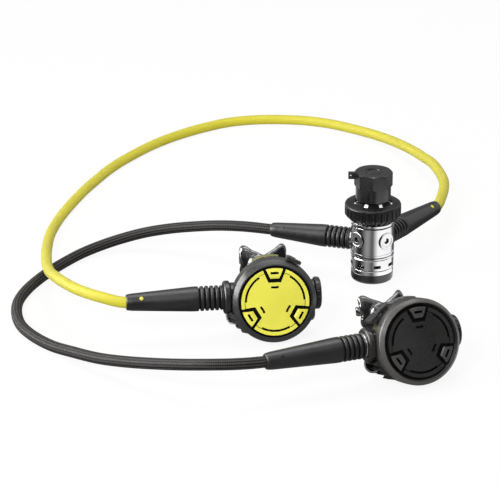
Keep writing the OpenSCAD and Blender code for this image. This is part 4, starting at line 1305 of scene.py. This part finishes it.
    def mouthpiece(self) -> bpy.types.Object:
        """The mouthpiece in soft silicone, with its lip shield bowed round the teeth.

        The solid is remeshed evenly and smoothed. Where the shield starts, the bend fades in: a point x to
        the side and y up moves on along the mouthpiece by x^2 / side + (y + 4)^2 / rise - 1.

        Returns:
            The new piece.
        """
        piece = merged(self.name + "_mouthpiece")
        even = piece.modifiers.new("even", "REMESH")
        even.mode = "VOXEL"
        even.voxel_size = self.voxel * MM
        even.use_smooth_shade = True
        soft = piece.modifiers.new("soft", "SMOOTH")
        soft.iterations = 16
        soft.factor = 0.5
        take_result(piece)
        piece.modifiers.clear()
        at = self.placement()
        tilt = math.radians(self.mouth_tilt)
        along = at[:3, :3] @ np.array([0.0, math.sin(tilt), -math.cos(tilt)])
        up = at[:3, :3] @ np.array([0.0, math.cos(tilt), math.sin(tilt)])
        origin = at[:3, :3] @ np.array(self.mouth_root) + at[:3, 3]
        points = read(piece.data.vertices, "co").astype(float) / MM
        x, y, s = (points - origin) @ at[:3, 0], (points - origin) @ up, (points - origin) @ along
        share = np.clip((s - self.shield_at) / self.shield_fade, 0.0, 1.0)
        side, rise = self.shield_bow
        points += (share * (x**2 / side + (y + 4) ** 2 / rise - 1.0))[:, None] * along
        piece.data.vertices.foreach_set("co", (points * MM).astype(np.float32).ravel())
        piece.data.update()
        dress(piece, Finish.SILICONE)
        return piece

    def build(self) -> None:
        """Makes and dresses every piece of the stage."""
        stage = self.body("stage")
        settle(self.ring(), stage, self.name + "_ring")
        settle(self.button(), self.body("purge"), self.name + "_purge_button")
        settle(self.mouthpiece(), stage, self.name + "_mouthpiece")
        settle(self.cover(), stage, self.name + "_cover")
        settle(self.case(), stage, self.name + "_case")
        for side in (-1, 1):
            comb = self.comb(side)
            settle(comb, stage, None)
        for part, body, finish, edge in (
                ("exhaust_tee", "stage", self.tee_finish, Edge(0.3, 2, 40)),
                ("mouthpiece_clamp", "stage", Finish.CAP_PLASTIC, Edge(0.3, 2)),
                ("effort_knob", "knob", Finish.NUT_PLASTIC, Edge(0.4, 3)),
                ("venturi_lever", "venturi", Finish.CASE_GREY, Edge(0.35, 3))):
            node = f"{self.name}_{part}"
            piece = softened(node, edge)
            dress(piece, finish)
            settle(piece, self.body(body), node)
        for part, finish in (
                ("diaphragm", Finish.RUBBER), ("diaphragm_plate", Finish.STEEL), ("valve_tube", Finish.BRASS),
                ("demand_lever", Finish.STEEL), ("poppet", Finish.BRASS), ("poppet_spring", Finish.STEEL),
                ("exhaust_valve", Finish.RUBBER)):
            dress(frame["nodes"][f"{self.name}_{part}"], finish)
        log.info("%s second stage dressed", self.name)


# ---------------------------------------------------------------- first stage


@dataclass
class FirstStage:
    """The first stage with its connector, hand wheel and dust cap.

    Attributes:
        barrel_r: radius of its barrel.
        groove_depth: depth of the grooves turned into it.
        plug_angles: directions of its two high pressure plugs.
        plug_height: their height.
        head_r: radius of a plug's head.
        seat_from: where its seat starts, from the barrel's axis.
        socket_r: radius round its socket.
        hub_r: radius of the threaded sleeve in the hand wheel.
        wheel_top: height of the hand wheel's top.
        cap_top: height of the dust cap's top.
        cap_ring_radii: inner and outer radius of the fine ring in it.
        cap_ring_depth: depth of that ring.
        windows: number of windows in the hand wheel.
        window_from: direction of the first one in degrees.
        window_w: their width.
    """

    barrel_r: float = 19.6
    groove_depth: float = 0.75
    plug_angles: tuple[float, float] = (-52.6, -138.3)
    plug_height: float = 41.6
    head_r: float = 7.7
    seat_from: float = 14.0
    socket_r: float = 2.95
    hub_r: float = 15.8
    wheel_top: float = 74.8
    cap_top: float = 103.1
    cap_ring_radii: tuple[float, float] = (7.2, 8.1)
    cap_ring_depth: float = 0.75
    windows: int = 8
    window_from: float = -68.5
    window_w: float = 3.5

    def sills(self) -> bpy.types.Object:
        """The bright sloping sills of the threaded sleeve in the windows of the hand wheel.

        A sill is a section in (r, z) at both sides w of its window, whose points lie at
        (r cos a - w sin a, r sin a + w cos a, z).

        Returns:
            The new piece.
        """
        turn = np.radians(self.window_from + 360.0 / self.windows * np.arange(self.windows))[:, None, None]
        section = np.array([[0.1, -2.8], [3.3, -2.8], [3.3, -1.4], [0.1, 1.0]]) + [self.hub_r, self.wheel_top]
        r, z = section[None, None, :, 0], section[None, None, :, 1]
        w = self.window_w * np.array([-0.5, 0.5])[None, :, None]
        points = np.stack([r * np.cos(turn) - w * np.sin(turn), r * np.sin(turn) + w * np.cos(turn),
                           z + 0 * w + 0 * turn], axis=-1).reshape(-1, 3)
        faces = [[i + 8 * k for i in face] for k in range(self.windows) for face in closed_faces(2, 4)]
        piece = Surface(points, faces).to_object("hand_wheel_sills", False)
        dress(piece, Finish.CHROME)
        settle(piece, "hand_wheel", None)
        return piece

    def cap_ring(self, cap: bpy.types.Object) -> None:
        """Cuts a fine ring into the dust cap's top.

        Args:
            cap: the dust cap.
        """
        low, high = self.cap_top - self.cap_ring_depth, self.cap_top + 1.0
        inner, outer = self.cap_ring_radii
        outline = np.array([[inner, low], [outer, low], [outer, high], [inner, high]])
        tool = turned(outline, 96).to_object("cap_tool", False)
        dress(tool, Finish.CAP_PLASTIC)
        cut_with(cap, tool)

    def paint_seam_shade(self, piece: bpy.types.Object) -> None:
        """Paints shade into the bottoms of the turned grooves, the seats of the plugs and their sockets.

        Args:
            piece: a chromed piece of the first stage, whose second material is the painted shade.
        """
        paint(piece, np.eye(4), lambda p, n: (np.abs(reach(p) - self.barrel_r + self.groove_depth) < 0.12)
              & (np.abs(n[:, 2]) < 0.5), 1)
        for turn in self.plug_angles:
            a = math.radians(turn)
            out = np.array([math.cos(a), math.sin(a), 0.0])
            at = axis_frame(np.array([0.0, 0.0, self.plug_height]), out)
            paint(piece, at, lambda p, n: (p[:, 2] > self.seat_from) & (
                ((np.abs(reach(p) - self.head_r - 0.1) < 0.16) & (np.abs(n[:, 2]) < 0.5))
                | (reach(p) < self.socket_r) & (np.abs(n[:, 2]) < 0.3)), 1)

    def build(self) -> None:
        """Makes and dresses every piece of the first stage."""
        for node, body, finish, edge in (
                ("base_cap", "first_stage", Finish.CAP_PLASTIC, Edge(0.3, 3)),
                ("spring_carrier", "first_stage", Finish.CHROME, Edge(0.15, 2)),
                ("first_stage_body", "first_stage", Finish.CHROME, Edge(0.15, 2)),
                ("port_plugs", "first_stage", Finish.CHROME, Edge(0.15, 2)),
                ("din_handwheel", "hand_wheel", Finish.WHEEL_PLASTIC, Edge(0.4, 3)),
                ("dust_cap", "dust_cap", Finish.CAP_PLASTIC, Edge(0.4, 3)),
                ("black_hose_nut", "first_stage", Finish.NUT_PLASTIC, Edge(0.5, 3)),
                ("yellow_hose_nut", "first_stage", Finish.NUT_PLASTIC, Edge(0.5, 3))):
            piece = softened(node, edge)
            if finish is Finish.CHROME:
                # painted shade in the grooves, the plug seats and the sockets
                dress(piece, finish, Finish.PAINTED_GROOVE_SHADE)
                self.paint_seam_shade(piece)
            else:
                dress(piece, finish)
            if node == "dust_cap":
                self.cap_ring(piece)
            settle(piece, body, node)
        self.sills()
        for node, finish in (
                ("din_connector", Finish.CHROME), ("din_screw", Finish.CHROME),
                ("inlet_filter", Finish.BRASS), ("din_o_ring", Finish.RUBBER),
                ("adjusting_screw", Finish.BRASS), ("main_spring", Finish.STEEL),
                ("spring_pad", Finish.BRASS), ("first_stage_diaphragm", Finish.RUBBER),
                ("push_pin", Finish.STEEL), ("pressure_valve", Finish.BRASS), ("valve_spring", Finish.STEEL),
                ("black_hose_fitting", Finish.CHROME), ("yellow_hose_fitting", Finish.CHROME)):
            dress(frame["nodes"][node], finish)
        log.info("first stage dressed")


# ---------------------------------------------------------------- studio


@dataclass
class Studio:
    """Camera, floor, lamps and world.

    Attributes:
        camera_at: the camera's place in metres.
        elevation: how far it looks down, in degrees.
        lens: its focal length in millimetres.
        aim: the middle of the set, which the lamps light.
        floor_tone: how pale the floor is under the lamps.
        paper_share: how much of the floor's own white is seen over its shadow.
        paper_glow: how bright that white is.
        fill: the world's light on the object, 1 being white.
        flag_far: how far the flags stand from the first stage in metres.
        flag_tall: their height in metres.
    """

    camera_at: Point = (-0.110636, -2.327074, 0.980932)
    elevation: float = 22.3
    lens: float = 200.0
    aim: Point = (-0.1, -0.05, 0.0)
    floor_tone: float = 0.66
    paper_share: float = 0.82
    paper_glow: float = 1.09
    fill: float = 0.34
    flag_far: float = 1.7
    flag_tall: float = 1.6

    def camera(self) -> None:
        """Places the camera."""
        data = bpy.data.cameras.new("camera")
        data.lens = self.lens
        data.sensor_width = 36.0
        data.clip_end = 50.0
        made = put("camera", data)
        made.location = self.camera_at
        made.rotation_euler = (math.radians(90 - self.elevation), 0.0, 0.0)
        bpy.context.scene.camera = made

    def lamp(self, name: str, place: Point, rise: float, size: float, power: float) -> None:
        """Adds a soft square lamp that lights the middle of the set.

        Args:
            name: its name.
            place: where it hangs.
            rise: how far above the middle it aims.
            size: its side in metres.
            power: its power in watts.
        """
        data = bpy.data.lights.new(name, "AREA")
        data.shape = "SQUARE"
        data.size = size
        data.energy = power
        matrix = axis_frame(np.array(place), np.array(place) - np.array(self.aim) - [0.0, 0.0, rise])
        put(name, data).matrix_world = Matrix(matrix.tolist())

    def floor(self) -> None:
        """Lays the pale floor: white where the camera looks, and a matt ground that keeps the shadow."""
        mesh = bpy.data.meshes.new("floor")
        mesh.from_pydata([(-6, -6, 0), (6, -6, 0), (6, 6, 0), (-6, 6, 0)], [], [(0, 1, 2, 3)])
        n = Nodes("floor_paper")
        n.shade({"Base Color": (*[self.floor_tone] * 3, 1.0), "Roughness": 0.9, "Specular IOR Level": 0.0})
        path = n.node("LightPath", {}).outputs
        direct = n.math("MAXIMUM", path["Is Camera Ray"], path["Is Glossy Ray"])
        seen = n.math("MULTIPLY", direct, self.paper_share)
        mixed = n.node("MixShader", {0: seen, 1: n.shader.outputs[0], 2: n.glow(self.paper_glow)})
        mesh.materials.append(n.show(mixed.outputs[0]))
        made = put("floor", mesh)

    def flag(self, name: str, angle: float, width: float, tone: float) -> None:
        """A tall upright panel that only metal and gloss see: dark stripes give chrome its contrast.

        Args:
            name: its name.
            angle: where it stands round the set, in degrees from the right.
            width: its width in metres.
            tone: how bright it is, 1 being white.
        """
        a = math.radians(angle)
        centre = self.flag_far * np.array([math.cos(a), math.sin(a), 0.0])
        side = np.array([-math.sin(a), math.cos(a), 0.0]) * width / 2
        up = np.array([0.0, 0.0, self.flag_tall])
        corners = np.array([centre - side, centre + side, centre + side + up, centre - side + up])
        self.card(name, corners, [(0, 1, 2, 3)], tone)

    def card(self, name: str, points: np.ndarray, faces: list, tone: float | np.ndarray) -> None:
        """Adds a panel that is seen in reflections alone.

        Args:
            name: its name.
            points: its corners in metres.
            faces: its faces.
            tone: how bright it is, or how bright it is at each corner.
        """
        mesh = bpy.data.meshes.new(name)
        mesh.from_pydata(points.tolist(), [], faces)
        made = put(name, mesh)
        n = Nodes(name + "_cloth")
        if isinstance(tone, np.ndarray):
            layer = mesh.attributes.new("tone", "FLOAT", "POINT")
            layer.data.foreach_set("value", tone.astype(np.float32))
            tone = n.node("Attribute", {}, attribute_name="tone").outputs["Fac"]
        mesh.materials.append(n.show(n.glow(tone)))
        made.visible_camera = False
        made.visible_diffuse = False
        made.visible_shadow = False
        made.visible_transmission = False

    def world(self) -> None:
        """Sets the world: white where it is seen or mirrored, and a soft fill light."""
        world = bpy.data.worlds.new("studio")
        bpy.context.scene.world = world
        n = SkyNodes(world)
        path = n.node("LightPath", {}).outputs
        direct = n.math("MAXIMUM", path["Is Camera Ray"], path["Is Glossy Ray"])
        seen = n.math("MAXIMUM", direct, path["Is Transmission Ray"])
        back = n.tree.nodes["Background"].inputs
        n.fill(back["Color"], WHITE)
        n.fill(back["Strength"], n.range(seen, 0.0, 1.0, self.fill, 1.0))

    def ring_card(self, name: str, radii: tuple[float, float], height: float, tone: float | np.ndarray,
                  steps: int) -> None:
        """Lays a flat ring on the floor for gloss alone, with corners at r (cos a, sin a) on both radii.

        Args:
            name: its name.
            radii: its inner and outer radius in metres.
            height: how far above the floor it lies.
            tone: how bright it is, or how bright it is at each corner.
            steps: faces round it.
        """
        angle = np.linspace(0.0, 2 * np.pi, steps + 1)[:, None]
        r = np.array(radii)[None, :]
        points = np.stack([r * np.cos(angle), r * np.sin(angle), height + 0 * r * angle], axis=-1)
        faces = [(2 * i, 2 * i + 1, 2 * i + 3, 2 * i + 2) for i in range(steps)]
        self.card(name, points.reshape(-1, 3), faces, tone)

    def fan(self) -> None:
        """Lays a ring round the first stage, which only its chrome mirrors, to give it soft bands.

        The card's tone runs smoothly between the values chosen at a few directions.
        """
        steps = 240
        turn = np.linspace(0.0, 360.0, steps + 1)
        at = [0, 10, 27, 60, 80, 88, 125, 156, 173, 190, 208, 220, 240, 252, 264, 272, 284, 296, 360]
        tone = [1.2, 1.2, 0.15, 0.06, 0.1, 1.0, 1.0, 0.2, 0.3, 0.05, 0.02, 0.12, 0.36, 0.3, 0.12, 0.2, 0.75,
                1.25, 1.2]
        tones = np.repeat(np.interp(turn, at, tone), 2)
        self.ring_card("chrome_card", (0.0212, 0.24), 0.0003, tones, steps)

    def build(self) -> None:
        """Sets up everything round the object."""
        self.floor()
        self.lamp("key_lamp", (-0.9, -2.3, 1.7), rise=0.0, size=1.0, power=42.0)
        self.lamp("left_lamp", (-2.2, -0.7, 0.9), rise=0.03, size=1.1, power=14.0)
        self.lamp("top_lamp", (-0.15, 0.45, 2.0), rise=0.0, size=1.1, power=12.0)
        self.flag("front_flag", angle=262.0, width=3.0, tone=0.04)
        self.flag("right_flag", angle=335.0, width=1.8, tone=0.06)
        self.flag("back_flag", angle=88.0, width=1.7, tone=0.28)
        left = np.array([(-1.9, 0.75, 0.1), (-1.9, -0.95, 0.1), (-1.7, -0.95, 1.4), (-1.7, 0.75, 1.4)])
        self.card("left_box", left, [(0, 1, 2, 3)], tone=13.0)
        above = np.array([(-1.1, 0.0, 1.9), (-1.1, 0.75, 1.9), (0.7, 0.75, 1.9), (0.7, 0.0, 1.9)])
        self.card("top_box", above, [(0, 1, 2, 3)], tone=4.5)
        self.ring_card("dim_card", (0.24, 1.6), 0.0002, tone=0.30, steps=96)
        self.fan()
        self.world()
        bpy.context.scene.view_settings.view_transform = "Standard"
        log.info("studio set up")


# ---------------------------------------------------------------- the set


BLACK_ROUTE: list[Point] = [
    (-115, 36, 35), (-139, 46, 32), (-163, 56, 27), (-186, 63, 22), (-208, 66, 17), (-229, 64, 12),
    (-248, 57, 8), (-265, 43, 6), (-279, 25, 5), (-291, 4, 5), (-302, -19, 5), (-311, -44, 5),
    (-316, -70, 5), (-315, -96, 5), (-309, -121, 5), (-297, -143, 5), (-280, -163, 5), (-260, -183, 8),
    (-238, -204, 12), (-215, -224, 18), (-191, -241, 24), (-167, -256, 30), (-144, -267, 35),
    (-121, -268, 36)]

YELLOW_ROUTE: list[Point] = [
    (66, 94, 35), (69, 108, 35), (73, 132, 34), (75, 157, 32), (75, 182, 28), (73, 208, 25), (69, 236, 22),
    (62, 264, 18), (53, 291, 15), (42, 317, 12), (30, 341, 9), (15, 362, 7), (-4, 383, 5), (-26, 398, 5),
    (-51, 408, 5), (-78, 412, 5), (-105, 411, 5), (-131, 404, 5), (-154, 390, 5), (-175, 373, 5),
    (-194, 354, 5), (-211, 333, 5), (-226, 310, 5), (-240, 286, 5), (-252, 261, 5), (-262, 235, 5),
    (-271, 210, 5), (-279, 184, 5), (-286, 158, 5), (-292, 132, 5), (-296, 105, 6), (-298, 78, 8),
    (-298, 51, 10), (-297, 24, 13), (-295, -2, 16), (-292, -28, 21), (-288, -53, 27), (-282, -79, 34),
    (-272, -103, 38), (-258, -124, 40), (-239, -139, 40)]


def main() -> None:
    """Builds the camera, the hoses, the stages and the studio in order."""
    studio = Studio()
    studio.camera()
    primary = SecondStage(
        "primary", cover_finish=Finish.COVER_BLACK, case_finish=Finish.CASE_GREY,
        ring_finish=Finish.RING_PALE, pad_finish=Finish.PAD_GREY, claw_finish=Finish.CLAW_GREY,
        tee_finish=Finish.CASE_GREY, rim_width=3.6, painted_shade_width=2.6)
    octopus = SecondStage(
        "octopus", cover_finish=Finish.COVER_YELLOW, case_finish=Finish.CASE_GREY,
        ring_finish=Finish.RING_GREY, pad_finish=Finish.PAD_OLIVE, claw_finish=Finish.CLAW_YELLOW,
        tee_finish=Finish.CLAW_GREY, rim_width=4.6, painted_shade_width=1.2)
    black = HoseLine(
        "black", port_angle=163.0, first_len=75.0, second_len=88.0, route=BLACK_ROUTE,
        finish=Finish.BLACK_BRAID, dot=Finish.BLACK_DOT, stage=primary.placement())
    yellow = HoseLine(
        "yellow", port_angle=53.0, first_len=84.0, second_len=84.0, route=YELLOW_ROUTE,
        finish=Finish.YELLOW_BRAID, dot=Finish.YELLOW_DOT, stage=octopus.placement())
    black.build()
    yellow.build()
    FirstStage().build()
    primary.build()
    octopus.build()
    studio.build()


if __name__ == "__main__":
    logging.basicConfig(level=logging.INFO, format="%(name)s: %(message)s")
    main()
